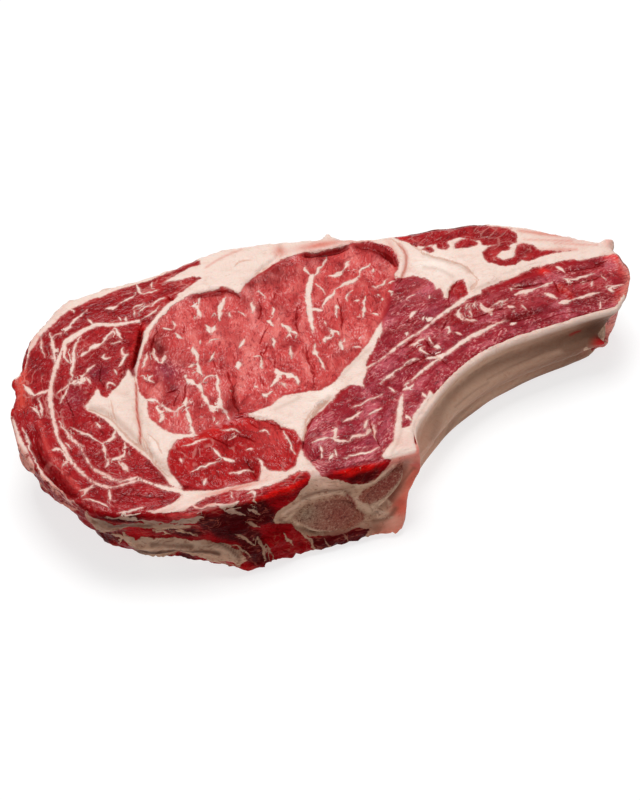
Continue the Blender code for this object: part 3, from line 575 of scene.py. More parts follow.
RIB_STRANDS = [
    (0.8, (-24, -46.5), (-20, -45.3), (-16, -46)), (0.9, (-16, -46), (-13.5, -48.5), (-9, -49.5)),
    (0.8, (-9, -49), (-6, -47.3), (-2, -48)), (0.8, (-2, -48.5), (1.5, -45.3)),
    (0.8, (-8.5, -39.6), (-3.5, -38.2), (1, -36.5)), (0.4, (-3, -33.3), (4, -31), (12, -30)),
    (0.6, (2.3, -39.5), (5, -38.3), (9, -36.5)), (0.8, (1.3, -41.5), (-0.6, -45.5)),
    (0.7, (-14, -57.3), (-9, -57), (-2, -57.5), (2, -56)), (0.9, (-12.4, -41.5), (-13, -43)),
    (0.8, (-21.5, -48.5), (-20.5, -52)), (0.7, (-21.5, -52), (-23, -55)),
    (0.6, (-15.8, -52), (-16.3, -56.5)), (0.7, (-15, -46.5), (-11.5, -41)),
    (0.8, (-19.5, -57), (-17.5, -54)), (0.6, (3.3, -44), (1.5, -52)),
    (0.5, (12, -24), (18, -20.8), (24.5, -18)), (0.5, (24.5, -18), (29, -15), (33, -16)),
    (0.6, (15, -27), (17, -30.5)), (0.7, (30.5, -8.6), (34.5, -7.2), (38.3, -5)),
    (0.6, (37.5, -14.7), (34, -11), (37, -9.7)), (1.2, (35.5, -16.5), (40, -17.5), (44, -16.5)),
    (1.4, (40.5, -11.5), (43, -12.5)), (0.7, (52, -6), (54.5, -8)),
    (0.9, (59.4, 6.2), (57.5, 5.2), (56.5, 3.2), (56.7, 0.9), (58.1, -0.9)),
    (0.6, (58.1, -0.9), (60.1, -0.9), (61.8, -1.6), (62.8, -2.9)),
    (0.35, (57.9, 4), (58, 2), (58.7, 0.1), (59.8, -1)),
    (0.4, (66.7, 8.6), (65.8, 7.3), (65.4, 5.9), (64.3, 4.3)), (0.35, (63.3, 8.1), (62.1, 6.9), (60.8, 5)),
    (0.35, (64.8, 7.6), (63.4, 6.5), (62.7, 4.8)),
    (0.45, (62.5, 4.9), (61.7, 3.2), (61.9, 1.6), (61.9, 0.2)),
    (1.3, (68, 6.6), (67.9, 4.4), (68.9, 2.7), (70.5, 1.8), (72.2, 1.7)),
    (0.5, (71.9, 3.1), (74.1, 3.6), (76.5, 4.8), (78.7, 5.1), (80.6, 5.5)), (0.5, (75.9, 3.8), (76.5, 2.3)),
    (0.8, (79.2, 1.9), (80.5, 0.9), (81.7, 0.1)), (0.5, (79.8, -2), (80.8, -2.3)),
    (0.8, (70, -0.5), (70.9, -1)), (0.4, (84.7, 0.4), (85.4, -1.4), (85.7, -3)),
    (0.6, (83.7, 11.5), (84, 9.9)), (0.4, (84.1, 11.8), (86.5, 11.9), (89.1, 11.9)),
    (0.8, (48.4, -3.2), (50.2, -2.2), (50.2, -4.6), (48.4, -6.3)),
    (0.5, (40.4, -4.9), (40.3, -7.3), (41, -9.5)), (0.9, (76, -9), (79, -8)),
    (1.2, (84, 7), (89, 7.3), (94, 7.3)), (0.7, (94, 7.3), (99, 8), (103, 9.3)),
    (0.6, (108.1, 9.9), (111.8, 8.3), (115.6, 7.9), (118.5, 8.3), (122.6, 8.7)),
    (0.7, (108.5, 9.8), (109, 8.1), (108.9, 6)), (0.9, (107.6, 17.5), (109, 16), (110.1, 13.8)),
    (1.2, (100.9, -3.5), (103.6, -3.5), (106.2, -3.6)),
    (0.8, (107.1, -3.3), (111.3, -2.6), (115.2, -2.7), (120.1, -2.1)), (0.8, (97, 4), (101, -0.7)),
    (0.5, (123.1, -0.5), (125.8, -0.5), (128.8, -0.9), (132, -1.6)),
    (0.9, (123.4, -0.8), (124.9, -1.8), (126.5, -3.6)), (0.4, (118.3, -7.3), (117.5, -10.1), (116.8, -12)),
    (0.4, (124.5, 7.5), (124.7, 5.3), (125.5, 3.3)), (0.45, (119.6, 5.3), (118.7, 3.5), (118, 1.9)),
    (0.35, (114.6, 3.7), (115.6, 5), (116.6, 4.7)), (0.8, (36.5, 7), (38.5, 10), (40.5, 10.5)),
    (0.8, (41, 4.5), (42.5, 6.5)), (1.3, (43, 3), (45.5, 4.5)), (0.8, (31.5, -2), (32.5, 0)),
    (0.4, (38, 17.5), (43, 20)), (0.5, (48, 16), (49, 17.5)), (0.8, (27.5, -34), (27.8, -37.5)),
    (0.6, (17.3, -43), (18.3, -47)), (0.6, (26, -28.5), (22, -30.5)), (0.8, (20.5, -31), (24, -29.5)),
    (0.5, (34.5, 24.3), (32.5, 22)), (0.5, (23.3, 5), (20, -0.3)),
]
EDGE_STRANDS = [
    (0.9, (-76, -65.2), (-73.7, -65), (-70.9, -65), (-67.8, -66.4), (-65.2, -67.1), (-62.3, -67),
        (-60.4, -66.4)),
    (0.8, (-56.1, -63.1), (-54.3, -63), (-52.9, -64.1), (-54.1, -66.3)),
    (0.6, (-78.4, -61), (-78.1, -63.3), (-76, -65)), (0.5, (-45.5, -60), (-42, -59), (-39, -58.8)),
    (0.4, (-62.5, -60.5), (-62, -64)),
]
STRANDS = [(half * EYE_WIDER, *line) for half, *line in EYE_STRANDS]
STRANDS += CAP_STRANDS + OVAL_STRANDS + RIB_STRANDS + EDGE_STRANDS
print(len(STRANDS), "strands on the cut face")

# %% [markdown]
# ## The torn walls
#
# Below the cut face the photo shows the front and the left wall, torn and pulled by the butcher's knife:
# a broad strap of pale sinew, thin sheets between dark muscles, and skin round the sawn bones. They are
# read from the same level as the face, so they use the same kind of lines.

# %% Outline the fat and sinew of the front wall
STRAP = [
    (-107, -66.5), (-103, -71), (-96, -73), (-90, -75), (-83, -78), (-76, -80), (-70, -84), (-66.5, -88.5),
    (-64.5, -93), (-68, -95.5), (-74, -91), (-80, -87.5), (-85, -84.5), (-90, -81.5), (-95, -82.2),
    (-101, -80), (-104.5, -76), (-106.5, -71),
]
ROUND_BONES = [
    (-30, -61), (-25, -64), (-20, -67), (-15, -70), (-8, -71.5), (-2, -68.5), (5, -64), (11, -62),
    (19, -60), (19, -68), (13, -75), (4, -86), (0, -93), (-4, -99), (-19, -97.5), (-15, -92.5), (-20, -92),
    (-29, -92.5), (-36, -90.5), (-41, -87), (-44, -82), (-48.5, -80), (-50.5, -79), (-45.5, -73.5),
    (-38, -70), (-31, -66),
]
FLAP_EDGE = [
    (-142, 5), (-138, 3), (-137, -1), (-136.4, -10), (-135.2, -18), (-134.2, -24), (-133, -30), (-136, -34),
    (-144, -20),
]
UPPER_STRAP = [
    (-119.2, -52.5), (-117, -55), (-114.8, -57.8), (-112.6, -59.8), (-109.8, -62.2), (-105.3, -63.6),
    (-100.9, -64.4), (-97.6, -65), (-93.1, -67.6), (-86, -68.6), (-78, -73.5), (-86, -70.9), (-93.1, -70.2),
    (-97.6, -67.4), (-103.1, -65.8), (-108.7, -65), (-112.6, -64.5), (-115.3, -64.9), (-117.3, -62.2),
    (-118.4, -58.3),
]
THIN_END = [(131, 19), (132, 24), (133, 30), (141, 30), (142, 21), (136.5, 18.4)]
FRONT_BODIES = [STRAP, ROUND_BONES, FLAP_EDGE, UPPER_STRAP, THIN_END]
print(len(FRONT_BODIES), "bodies of fat and sinew on the front")

# %% Draw the strands of the flap and of the front wall
FLAP_STRANDS = [
    (0.6, (-135.2, -4), (-134.2, -12), (-133.6, -20)),
    (0.9, (-133.3, -19), (-133.2, -25), (-131.4, -31), (-128.4, -38), (-124.8, -44.6), (-121.3, -49.5)),
    (0.6, (-137, -26), (-134, -33), (-131, -39)), (0.7, (-130, -43), (-125, -48.5), (-121, -52)),
]
FRONT_STRANDS = FLAP_STRANDS + EDGE_STRANDS + [
    (0.8, (-112, -57.5), (-104, -61), (-97, -64), (-91, -68), (-86, -72), (-80, -77)),
    (0.6, (-96, -69), (-90, -73)), (0.6, (-108, -68), (-110, -72)),
    (1.3, (-88, -67), (-83, -69), (-76, -69)), (0.8, (-64, -66), (-58, -65), (-54, -68.5)),
    (0.8, (-57.5, -70), (-54, -74)), (1.0, (-67, -68), (-62, -70.5), (-59.5, -73)),
    (0.7, (-66, -80), (-62, -84), (-60, -88)), (0.5, (-70, -84), (-66, -86), (-63, -93)),
    (0.9, (-60, -76), (-56, -80.5)), (0.8, (-58, -84), (-57, -92), (-59, -96)),
    (0.5, (-55.5, -88), (-55, -96)), (0.9, (-43.5, -82), (-41, -87), (-38.6, -92), (-38, -98)),
    (0.6, (-48, -86), (-46, -92)), (0.6, (-47, -62.6), (-43, -61.5), (-39, -60.4)),
    (0.5, (-83, -85), (-76, -90), (-70, -95)), (0.5, (-33, -93), (-32.5, -98)),
    (0.5, (-25, -92.5), (-24.5, -97)), (1.1, (-112, -66), (-106, -70)), (0.4, (-15, -59), (-15.5, -64)),
    (0.4, (-9.5, -59), (-9, -65)), (0.4, (-4, -59), (-4.5, -63)), (0.6, (-50, -62), (-54, -66.5)),
    (0.5, (-60, -60), (-62, -64)), (0.5, (-70, -61), (-69, -64)),
]
print(len(FRONT_STRANDS), "strands on the front wall")

# %% [markdown]
# Three measures come from these drawings: how deep a point lies in fat, how far it is from the strand that
# covers it most, and whether the camera saw it at all. What it didn't see has no reading, and gets its
# look from what lies next to it.

# %% Measure fat, strands and what the camera saw
STRAND_REACH = 1.3  # mm past a strand's own half width that still read it


def shows(points, normals):
    """How far each point's skin faces the camera, from 0 at the outline."""
    sight = LENS_AT - points
    sight /= np.linalg.norm(sight, axis=1)[:, None]
    return (normals * sight).sum(1)


def fat_depth(plan, bodies, islands, seams):
    """How deep each plan point lies in fat, in mm, below zero in lean."""
    depth = np.full(len(plan), -FAR)
    for body in bodies:
        depth = np.maximum(depth, depth_in(plan, body))
    for island in islands:
        depth = np.minimum(depth, -depth_in(plan, island))
    for first, last, *line in seams:
        aside, share, _ = to_line(plan, rounded(line))
        depth = np.maximum(depth, first + (last - first) * share - np.abs(aside))
    return np.maximum(depth, -FAR)


def nearest_strand(plan, strands):
    """Signed distance to the strand that covers each plan point most, and its half width there."""
    aside, half = np.full(len(plan), FAR), np.full(len(plan), -FAR)
    for width, *line in strands:
        reach = width + STRAND_REACH
        low, high = np.min(line, axis=0) - reach, np.max(line, axis=0) + reach
        near = np.flatnonzero(np.all((plan > low) & (plan < high), axis=1))
        off, share, over = to_line(plan[near], rounded(line))
        ends = np.minimum(share, 1 - share)
        width = width * (0.4 + 0.6 * smoothstep(0, 0.4, ends)) - np.maximum(over, 0)
        closer = (width - np.abs(off) > half[near] - np.abs(aside[near])) & (np.abs(off) < reach)
        aside[near[closer]] = off[closer]
        half[near[closer]] = width[closer]
    return aside, half


facing = shows(points, normals)
in_view = smoothstep(-0.02, 0.12, facing)

# The cut face is what looks up near the top. Along the rib its rim is rounder, so less of it counts.
by_rib = smoothstep(14, 18, points[:, 0]) * smoothstep(-2, -8, points[:, 1])
is_face = smoothstep(0.45 + 0.35 * by_rib, 0.75 + 0.2 * by_rib, normals[:, 2])
is_face *= smoothstep(30 + 9.5 * by_rib, 36 + 4.8 * by_rib, points[:, 2])
print("share of the skin on the cut face:", round(float(is_face.mean()), 2))

# %% [markdown]
# ## Which way the fibres run
#
# Muscle is bundles of fibre, and its streaks follow them. In the cap they run round the eye, and along the
# rib they run with it. So each point also gets its place across and along the fibres, and the shader
# reads its patterns there. Lengths along the fibres are squeezed, which draws the streaks out. Where one
# muscle's direction changes to the next, the pattern is faded out for a millimetre, or it would smear.
# Bundles of fibre also stand up and sink a little, and these folds are drawn out the same way.

# %% Find the place across and along the fibres
PLUM_ZONE = [
    (24, 9), (31, 20), (37, 32), (42, 31), (53, 29), (60, 12), (140, 20), (140, -20), (60, -26), (20, -55),
    (14, -56), (8, -68), (-10, -72), (-30, -68), (-29, -44), (-20, -33), (-8, -28), (2, -20), (10, -14),
]
CAP_LINE = rounded([
    (-38, 62), (-60, 58), (-85, 54), (-104, 46), (-117, 32), (-124, 12), (-125, -8), (-122, -28),
    (-113, -46), (-98, -57), (-82, -60), (-60, -62), (-40, -66), (-20, -72), (0, -74),
], 3)
RIB_LINE = rounded([(-20, -52), (0, -42), (20, -27), (40, -16), (60, -6), (80, 1), (105, 5), (140, 6)], 3)
SQUEEZE = 0.45  # of the length along the fibres
EYE_SLANT, OVAL_SLANT, CORNER_SLANT = 14, -6, 65  # degrees


def beside(plan, line):
    """How far each plan point lies to the side of a line, and how far along it."""
    aside, share, over = to_line(plan, line)
    length = np.linalg.norm(np.diff(line, axis=0), axis=1).sum()
    return np.column_stack([aside, share * length + np.where(share > 0.5, over, -over)])


def slanted(plan, degrees):
    """Each plan point's place on axes turned by some degrees."""
    turn = math.radians(degrees)
    return plan @ np.array([(math.cos(turn), math.sin(turn)), (-math.sin(turn), math.cos(turn))])


def choose(mask, one, other):
    """One place where the mask holds, the other elsewhere."""
    return np.where(mask[:, None], one, other)


def fibres_at(plan, zoned):
    """The place across and along the fibres; only zoned points follow the muscles' own directions."""
    in_corner = (plan[:, 0] > 20) & (plan[:, 1] > 12)
    place = beside(plan, CAP_LINE)
    place = choose(zoned & in_corner, slanted(plan, CORNER_SLANT), place)
    place = choose(zoned & (depth_in(plan, EYE) > -0.5), slanted(plan, EYE_SLANT), place)
    place = choose(zoned & (depth_in(plan, PLUM_ZONE) > 0), beside(plan, RIB_LINE), place)
    place = choose(zoned & (depth_in(plan, OVAL) > -0.5), slanted(plan, OVAL_SLANT), place)
    return np.column_stack([place * (1, SQUEEZE), np.zeros(len(plan))])


def folds_at(plan):
    """Where bundles of fibre stand up, above 0, and sink, below 0, drawn out along the fibres."""
    fibres = fibres_at(plan, np.ones(len(plan), bool))
    return ripple(fibres, 3.6, 81.0) + 0.7 * ripple(fibres, 8.0, 87.0)


folds = folds_at(plan)
print("folds of fibre from", round(float(folds.min()), 1), "to", round(float(folds.max()), 1))

# %% [markdown]
# ## Relief
#
# The cut face isn't flat. Lean shrinks back from the fat, seams stand a little proud, a few seams have
# opened into clefts, and the flap at the left end has come away along a deep groove. Each of these pushes
# the skin in or out by a fraction of a millimetre. The torn walls get ragged layers.

# %% Draw the clefts and knobs: a half width, a depth and a line
CLEFTS = [
    (0.4, 2.4, (-75.5, 33.5), (-78, 28.5), (-80.5, 23.5), (-82.5, 18.5), (-84.3, 15)),
    (0.4, 1.0, (-75.2, 40), (-76, 36), (-77, 31)), (0.5, 1.2, (-60, 50), (-58.7, 48)),
    (1.4, 3.6, (-130.6, -3), (-131.6, -12), (-131.4, -20.5), (-129.8, -26), (-127.4, -32.4), (-124.8, -39),
        (-122.2, -45.3)),
    (0.6, 1.2, (-44.5, 4), (-46.3, -4), (-48, -13), (-48.3, -20.5)),
    (0.8, 1.0, (-10, 6), (-12.3, 0), (-13, -5)), (1.2, 1.6, (3, 56.8), (8, 56), (15, 55.2), (24, 56.3)),
    (1.1, 1.8, (27, 56), (33, 53.5), (37.5, 49), (39.3, 43)),
    (0.6, 1.2, (-19, 52.5), (-14, 55.5), (-8.5, 58.3), (-5.5, 61)),
    (1.0, 1.0, (75, -6), (85, -5.3), (94, -4.3)), (0.9, 1.1, (-52, -47), (-50.5, -51), (-50.5, -57)),
    (0.6, 1.0, (-60, -31.5), (-57, -33.5), (-53, -33)), (0.7, 1.4, (-73, 29), (-71.5, 23), (-71, 17)),
    (1.5, 1.4, (-48, 46.5), (-40, 46.8), (-34.5, 45)), (1.0, 1.2, (101, 15), (102.5, 11.5)),
    (0.9, 1.2, (103.8, 5), (105, 1)), (0.5, 1.2, (28.8, 62), (29.3, 57.5)),
    (0.5, 0.8, (-28, -43.5), (-27, -49)), (0.7, 0.8, (2.3, -41), (2, -50), (2.2, -56)),
    (0.6, 0.8, (-87, 0), (-88.5, -10), (-89.5, -20)), (0.7, 0.9, (-81, -52.5), (-78.5, -53.3)),
    (0.8, 0.7, (-16, -29), (-12.5, -26.8)),
]
# Knobs are tags of meat and fat that stand up, each a place and a half width.
KNOBS = [((102.2, 15.4), 2.2), ((105.9, 2.1), 2.3), ((134, 15), 2.4), ((135.3, 24.4), 2.2)]
print(len(CLEFTS), "clefts and", len(KNOBS), "knobs")

# %% Draw the fine creases between bundles and the folds in the fat
# Each crease and fold sinks the skin a little, and the shader paints shade along it.
CREASES = [
    (0.6, (-46.7, 1), (-46.6, -6), (-48.2, -13.7), (-48.7, -18.6), (-47.9, -22)),
    (0.3, (-23.4, 36.7), (-23.2, 30.5), (-26.2, 25.9)),
    (0.35, (-7.2, 29.6), (-9.1, 24.8), (-11.9, 18.8), (-11.8, 13.1)),
    (0.3, (-23.6, 20.4), (-26.8, 16.7), (-29.6, 12.2)), (0.6, (-10.9, 5), (-12.4, -0.9), (-12.7, -5.4)),
    (0.35, (-12.7, -5.4), (-12.6, -10.6), (-14.1, -16.5)), (0.3, (-26.4, 11.3), (-28.9, 6.1)),
    (0.3, (-25.2, 3.7), (-26.7, -2.4)), (0.3, (-34.3, -5.2), (-34.2, -11)),
    (0.3, (-14.7, 38.9), (-17.2, 34.8)), (0.25, (-11, -3.9), (-11, -7.8), (-13.7, -13.4)),
    (0.3, (-57.5, 31.5), (-58.9, 27.2)), (0.45, (-69.2, 32.5), (-72.5, 28), (-74.6, 22.5), (-73.8, 17.6)),
    (0.4, (-74.5, -2.5), (-71.7, -2.4), (-68.5, -1.7)), (0.35, (-64.5, -0.5), (-67, -4.8), (-68.8, -9.9)),
    (0.3, (-72.8, -10.6), (-69.9, -5.8), (-68.5, -3.1)), (0.25, (-50.8, 9.5), (-50.9, 5)),
    (0.6, (-38.5, 47.9), (-34.5, 46.3), (-31.6, 43.2), (-30.4, 40.5)),
    (0.7, (2.8, 56.8), (7.7, 56), (13, 55), (18.5, 54.4), (23.6, 55.4)),
    (1.1, (36.2, 51.4), (38, 48.8), (39, 45.6), (39.6, 41.8), (40.2, 38.7)),
    (0.3, (-20.5, 51.6), (-14.3, 55), (-10.7, 57.2)),
    (0.8, (-74.8, 38), (-76.3, 35.1), (-78, 29), (-80.5, 23.5), (-82.8, 18.3), (-84.2, 15)),
    (0.4, (-60, 50), (-58.6, 47.6)), (0.5, (77, -6.9), (81.3, -7), (85.7, -6.8), (89.8, -6.6)),
    (0.35, (-52, -47), (-50.5, -51), (-50.5, -56.5)), (0.4, (2.3, -41), (2, -50), (2.2, -56)),
    (0.35, (103.2, 10), (103.8, 4)), (0.5, (124.3, 14), (127.5, 14), (130.8, 14.4)),
    (0.35, (38.5, -5.1), (38.9, -8.5), (40.2, -11.7)), (0.35, (24.5, -18), (29.4, -17.3), (35.6, -15.3)),
    (0.4, (26.5, -8.3), (32.3, -5.7), (37.6, -2.8)), (0.45, (84, 12.2), (91, 10.6), (99, 9.8)),
    (0.3, (51.3, 1.6), (48.8, -1.8), (46.4, -3.5)), (0.35, (37.6, -13), (40.2, -17.5), (43, -21.5)),
    (0.3, (-54, -33), (-49, -34.5), (-45.5, -39)), (0.3, (-62, -31), (-58, -35), (-56.5, -39)),
    (0.35, (-45, -28), (-42.5, -32)), (0.3, (108, 6.5), (117, 5.4), (126, 6.6)),
    (0.3, (88, -10.6), (97, -9), (106, -9.6)), (0.3, (110, 14), (120, 13.4), (128, 12)),
    (0.35, (60, -1), (70, 1.2), (80, 1)), (0.3, (-30, 8), (-31.6, 1)), (0.3, (10, 28), (9, 18), (6, 9)),
    (0.3, (-104, -49), (-97, -51.5), (-88, -55.5)), (0.3, (-115, 12), (-114, 2), (-113.5, -5)),
    (0.3, (-96, 21), (-99, 13), (-98, 8)),
]
FAT_FOLDS = [
    (0.3, (-84.4, 11.4), (-85, 5.8), (-86.1, 0.4), (-86.7, -3.2), (-88, -7.5), (-88.6, -13.8),
        (-89.2, -19.1), (-90.7, -26), (-90.7, -28.3)),
    (0.3, (-97, 0), (-97.8, -8.2), (-97.4, -10.7)),
    (0.3, (-89.4, -20), (-88.3, -26.7), (-88.5, -32.1), (-86.1, -37.7)),
    (0.4, (-107, -2.1), (-102.9, -5.7), (-99.1, -10.6), (-97.3, -14.8), (-95.5, -19.1), (-93.8, -23.7),
        (-91.4, -28.1), (-89, -32.8), (-86.6, -39.8), (-84, -45.9)),
    (0.3, (-86.7, -21.7), (-84, -26.2), (-84.3, -30.7), (-83.5, -34.1)),
    (0.5, (-10.9, -26.4), (-17, -30.1), (-22.6, -36.7), (-26.9, -43.7), (-28.6, -47.7)),
    (0.3, (-17.2, -28.2), (-22.3, -33.2), (-25, -38.8)), (0.3, (-35.5, -31), (-33.2, -36.3)),
    (0.3, (-44.8, -24.9), (-42.6, -26.9), (-38.4, -29.6), (-35.7, -32.7)),
    (0.7, (-16.7, -28.8), (-14.6, -27.9), (-12.4, -26.8)),
    (0.4, (52.6, 49.3), (54.3, 42.7), (59.4, 38), (63.6, 34.8), (67.9, 31.7), (70.1, 28.7), (71, 25.7),
        (71.4, 22), (72.3, 19.9)),
    (0.3, (69.2, 29.9), (70.6, 28.1), (71, 23.9)), (0.9, (66.6, 15.4), (71.4, 19.3)),
    (0.5, (55.7, 12.5), (57.4, 16.4), (59.5, 19.3), (63, 21.8)),
    (0.3, (50.9, 50.3), (52.8, 46), (54.4, 40.9)),
    (0.4, (42.8, 56.1), (45.7, 50.9), (47.1, 45), (44.8, 37.4), (41.4, 32.1), (36.2, 26.4)),
    (0.3, (-28.1, 58.7), (-26, 60.9), (-23.7, 61.6), (-19.4, 60.7)),
]
print(len(CREASES), "creases and", len(FAT_FOLDS), "folds")

# %% Shape the cut face
FAT_RISE, STRAND_RISE, FOLD_RISE, KNOB_RISE, CREASE_DROP = 0.35, 0.22, 0.32, 1.0, 0.7  # mm


def face_relief(plan, depth, aside, half):
    """Height of the cut face above its mean at each plan point, in mm."""
    rise = FAT_RISE * smoothstep(-0.5, 1.2, depth)
    rise += STRAND_RISE * smoothstep(-0.6, 0.3, half - np.abs(aside))
    flat = np.column_stack([plan, np.zeros(len(plan))])
    rise += 0.3 * ripple(flat, 9.0) + 0.16 * ripple(flat, 3.6, 7.3) + 0.13 * ripple(flat, 1.7, 3.1)
    rise += FOLD_RISE * np.clip(folds, -1, 1) * smoothstep(0.6, -1, depth)
    for width, drop, *line in CLEFTS:
        off, share, _ = to_line(plan, line)
        ends = smoothstep(0, 0.25, np.minimum(share, 1 - share) + 0.03)
        rise -= drop * ends * np.exp(-((off / (width + 0.5)) ** 2))
    return rise


face_fat = fat_depth(plan, FAT_BODIES, LEAN_ISLANDS, WIDE_SEAMS)
face_fat = np.maximum(face_fat, depth_in(plan, FLAP_EDGE))
face_strand, face_half = nearest_strand(plan, STRANDS + FLAP_STRANDS)
crease_side, crease_half = nearest_strand(plan, CREASES + FAT_FOLDS)
rise = face_relief(plan, face_fat, face_strand, face_half)
rise -= CREASE_DROP * smoothstep(1.0, -0.2, np.abs(crease_side) - crease_half)
rise += KNOB_RISE * np.max([patch(plan, spot, (size, size)) for spot, size in KNOBS], axis=0)
rise *= is_face
print("cut face from", round(float(rise.min()), 2), "to", round(float(rise.max()), 2), "mm")

# %% [markdown]
# The walls were torn rather than sliced, so they swell out in ragged layers, most of all at the left and
# along the foot. The wall along the rib is different: there the membrane lies tight over the bone, so it
# stays smooth, with faint level ripples.

# %% Swell the walls
flat_walls = 1 - smoothstep(0.35, 0.7, np.abs(normals[:, 2]))

# The rib wall lies in front of the rib, right of the sawn corner and short of the thin end.
rib_wall = (1 - is_face) * smoothstep(-0.8, -0.5, normals[:, 2])
rib_wall *= smoothstep(16.5, 18.5, points[:, 0]) * smoothstep(-2, -8, points[:, 1])
rib_wall *= smoothstep(134, 129, points[:, 0] + 0.25 * (TOP - points[:, 2]))

strap = depth_in(plan, STRAP)
front_strand, front_half = nearest_strand(plan, FRONT_STRANDS)
torn = 0.9 * ripple(points * (0.5, 0.5, 1.0), 4.5) + 0.5 * ripple(points, 2.2, 5.0)
left = smoothstep(10, -40, points[:, 0])
push = flat_walls * (1 - rib_wall) * (0.35 + 0.65 * left) * torn
push += 0.7 * flat_walls * (1 - rib_wall)
push += in_view * flat_walls * 1.3 * smoothstep(-1, 3, strap) * smoothstep(0, 4, points[:, 2])
frayed = 1.6 * np.maximum(ripple(points, 2.8, 70.0), 0) + 1.6 * np.maximum(ripple(points, 1.5, 77.0), 0)
push += in_view * (1 - rib_wall) * smoothstep(7, 1.5, points[:, 2]) * frayed
push += rib_wall * 0.15 * ripple(points * (0.25, 0.25, 1.0), 3.0)
rise += 0.35 * flat_walls * ripple(points, 6.0, 9.0) * smoothstep(2, 8, points[:, 2])
print("walls pushed from", round(float(push.min()), 2), "to", round(float(push.max()), 2), "mm")

# %% [markdown]
# Where the saw went through the bones, the skin steps back behind the cut, so that the pieces of bone show.
# The saw plane is the one that the solids were cut on.

# %% Step back behind the sawn bones
SAW_AT, SAW_LEVEL, SAW_SLOPE = -66.7, 21.0, 0.22  # the saw cut, as the solids have it
CHINE_SPOT, CHINE_SIZE = (-23.6, 19.2), (12.2, 8.4)  # along X and up
HEAD_HALF, STEP_BACK = 6.0, 1.1
sawn = np.abs(points[:, 1] - SAW_AT - SAW_SLOPE * (points[:, 2] - SAW_LEVEL)) < 2.2
sawn &= normals[:, 1] < -0.7


def head_line():
    """Middle line of the rib's sawn head on the saw cut, along X and up."""
    left_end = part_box("rib_bone")[0].x / MM
    return [(left_end + 3.4, 19.0), (2.6, 27.0), (9.5, 31.0)]


on_saw = points[:, [0, 2]]
in_chine = 1 - np.linalg.norm((on_saw - CHINE_SPOT) / CHINE_SIZE, axis=1)
in_head = HEAD_HALF - np.abs(to_line(on_saw, head_line())[0])
recess = sawn * np.maximum(smoothstep(-0.08, 0.06, in_chine), smoothstep(-1, 1, in_head))
push = push * (1 - recess) - STEP_BACK * recess
print("sawn skin:", int((recess > 0.5).sum()), "points")

# %% [markdown]
# Two last forms belong to the thin end: a small red tag of meat on the rib wall, and the hollow under the
# end, where the wall tucks in. Then all the relief is applied at once and kept inside the part's box.

# %% Add the tag and the hollow, and apply the relief
TAG_AT, TAG_HALF, TAG_PUSH = (110.2, -27.9), 2.4, 2.5
TUCK, TUCK_LEVEL, TUCK_HALF = 9.0, 17, 9.5
BOX_GAP = 0.05

tag = np.exp(-((np.linalg.norm(plan - TAG_AT, axis=1) / TAG_HALF) ** 2)) * smoothstep(-0.5, 0, facing)
tuck = smoothstep(106, 128, points[:, 0]) * smoothstep(8, -6, points[:, 1])
tuck *= np.exp(-(((points[:, 2] - TUCK_LEVEL) / TUCK_HALF) ** 2)) * (1 - tag)
push += TAG_PUSH * tag
push *= points[:, 2] > 0.4  # the foot stays where it rests
points = points + normals * push[:, None]
points[:, 0] -= TUCK * tuck
points[:, 2] += rise
low, high = (np.array(corner) / MM for corner in cad_box)
points = np.clip(points, low + BOX_GAP, high - BOX_GAP)
points[:, 2] = np.maximum(points[:, 2], 0)
write_skin(steak, points)
print("relief from", round(float(rise.min()), 2), "to", round(float(rise.max()), 2), "mm")

# %% [markdown]
# ## Broad tones
#
# Before any fine pattern, each point of the skin gets a broad tone for its lean and one for its fat:
# coral in the eye, wine red in the cap, a bluish red along the rib, cream for outer fat, salmon where
# fat is thin over lean, and a grey brown membrane along the rib, browner where shade is painted on it.
# Some patches and lines are painted light and shade: highlights on ridges and rounded edges, shade in
# hollows, clefts and under overhangs. They are soft patches and lines, laid over each other in the order
# of the lists and stored as two layers of colour on the mesh.

# %% Name the tones
def tone(red, green, blue):
    """A display colour, 0 to 255, as the linear colour that shaders use."""
    share = np.array([red, green, blue]) / 255
    return np.where(share > 0.04045, ((share + 0.055) / 1.055) ** 2.4, share / 12.92)


def lay(base, cover, colour):
    """Lays a colour over a tone where cover is 1."""
    return base + np.clip(cover, 0, 1)[:, None] * (colour - base)


CORAL, WINE, OVAL_RED, PLUM = tone(204, 70, 68), tone(162, 14, 22), tone(176, 12, 16), tone(158, 32, 46)
BLOOD, DEEP, BRIGHT = tone(156, 6, 12), tone(78, 3, 8), tone(212, 28, 22)
PURPLE, TRANSLUCENT = tone(142, 58, 82), tone(220, 96, 88)
CREAM, SALMON, PINK = tone(234, 210, 198), tone(212, 112, 94), tone(222, 172, 160)
SINEW, MEMBRANE, BROWN = tone(186, 146, 122), tone(208, 166, 141), tone(122, 82, 62)
IVORY, FAT_FOLD_SHADE, RUST = tone(246, 230, 220), tone(172, 134, 116), tone(188, 62, 46)
EYE_VALLEY_SHADE, EYE_RIDGE_HIGHLIGHT, UMBER = tone(150, 14, 24), tone(232, 130, 122), tone(128, 88, 72)
print("salmon fat as linear light:", SALMON.round(2))
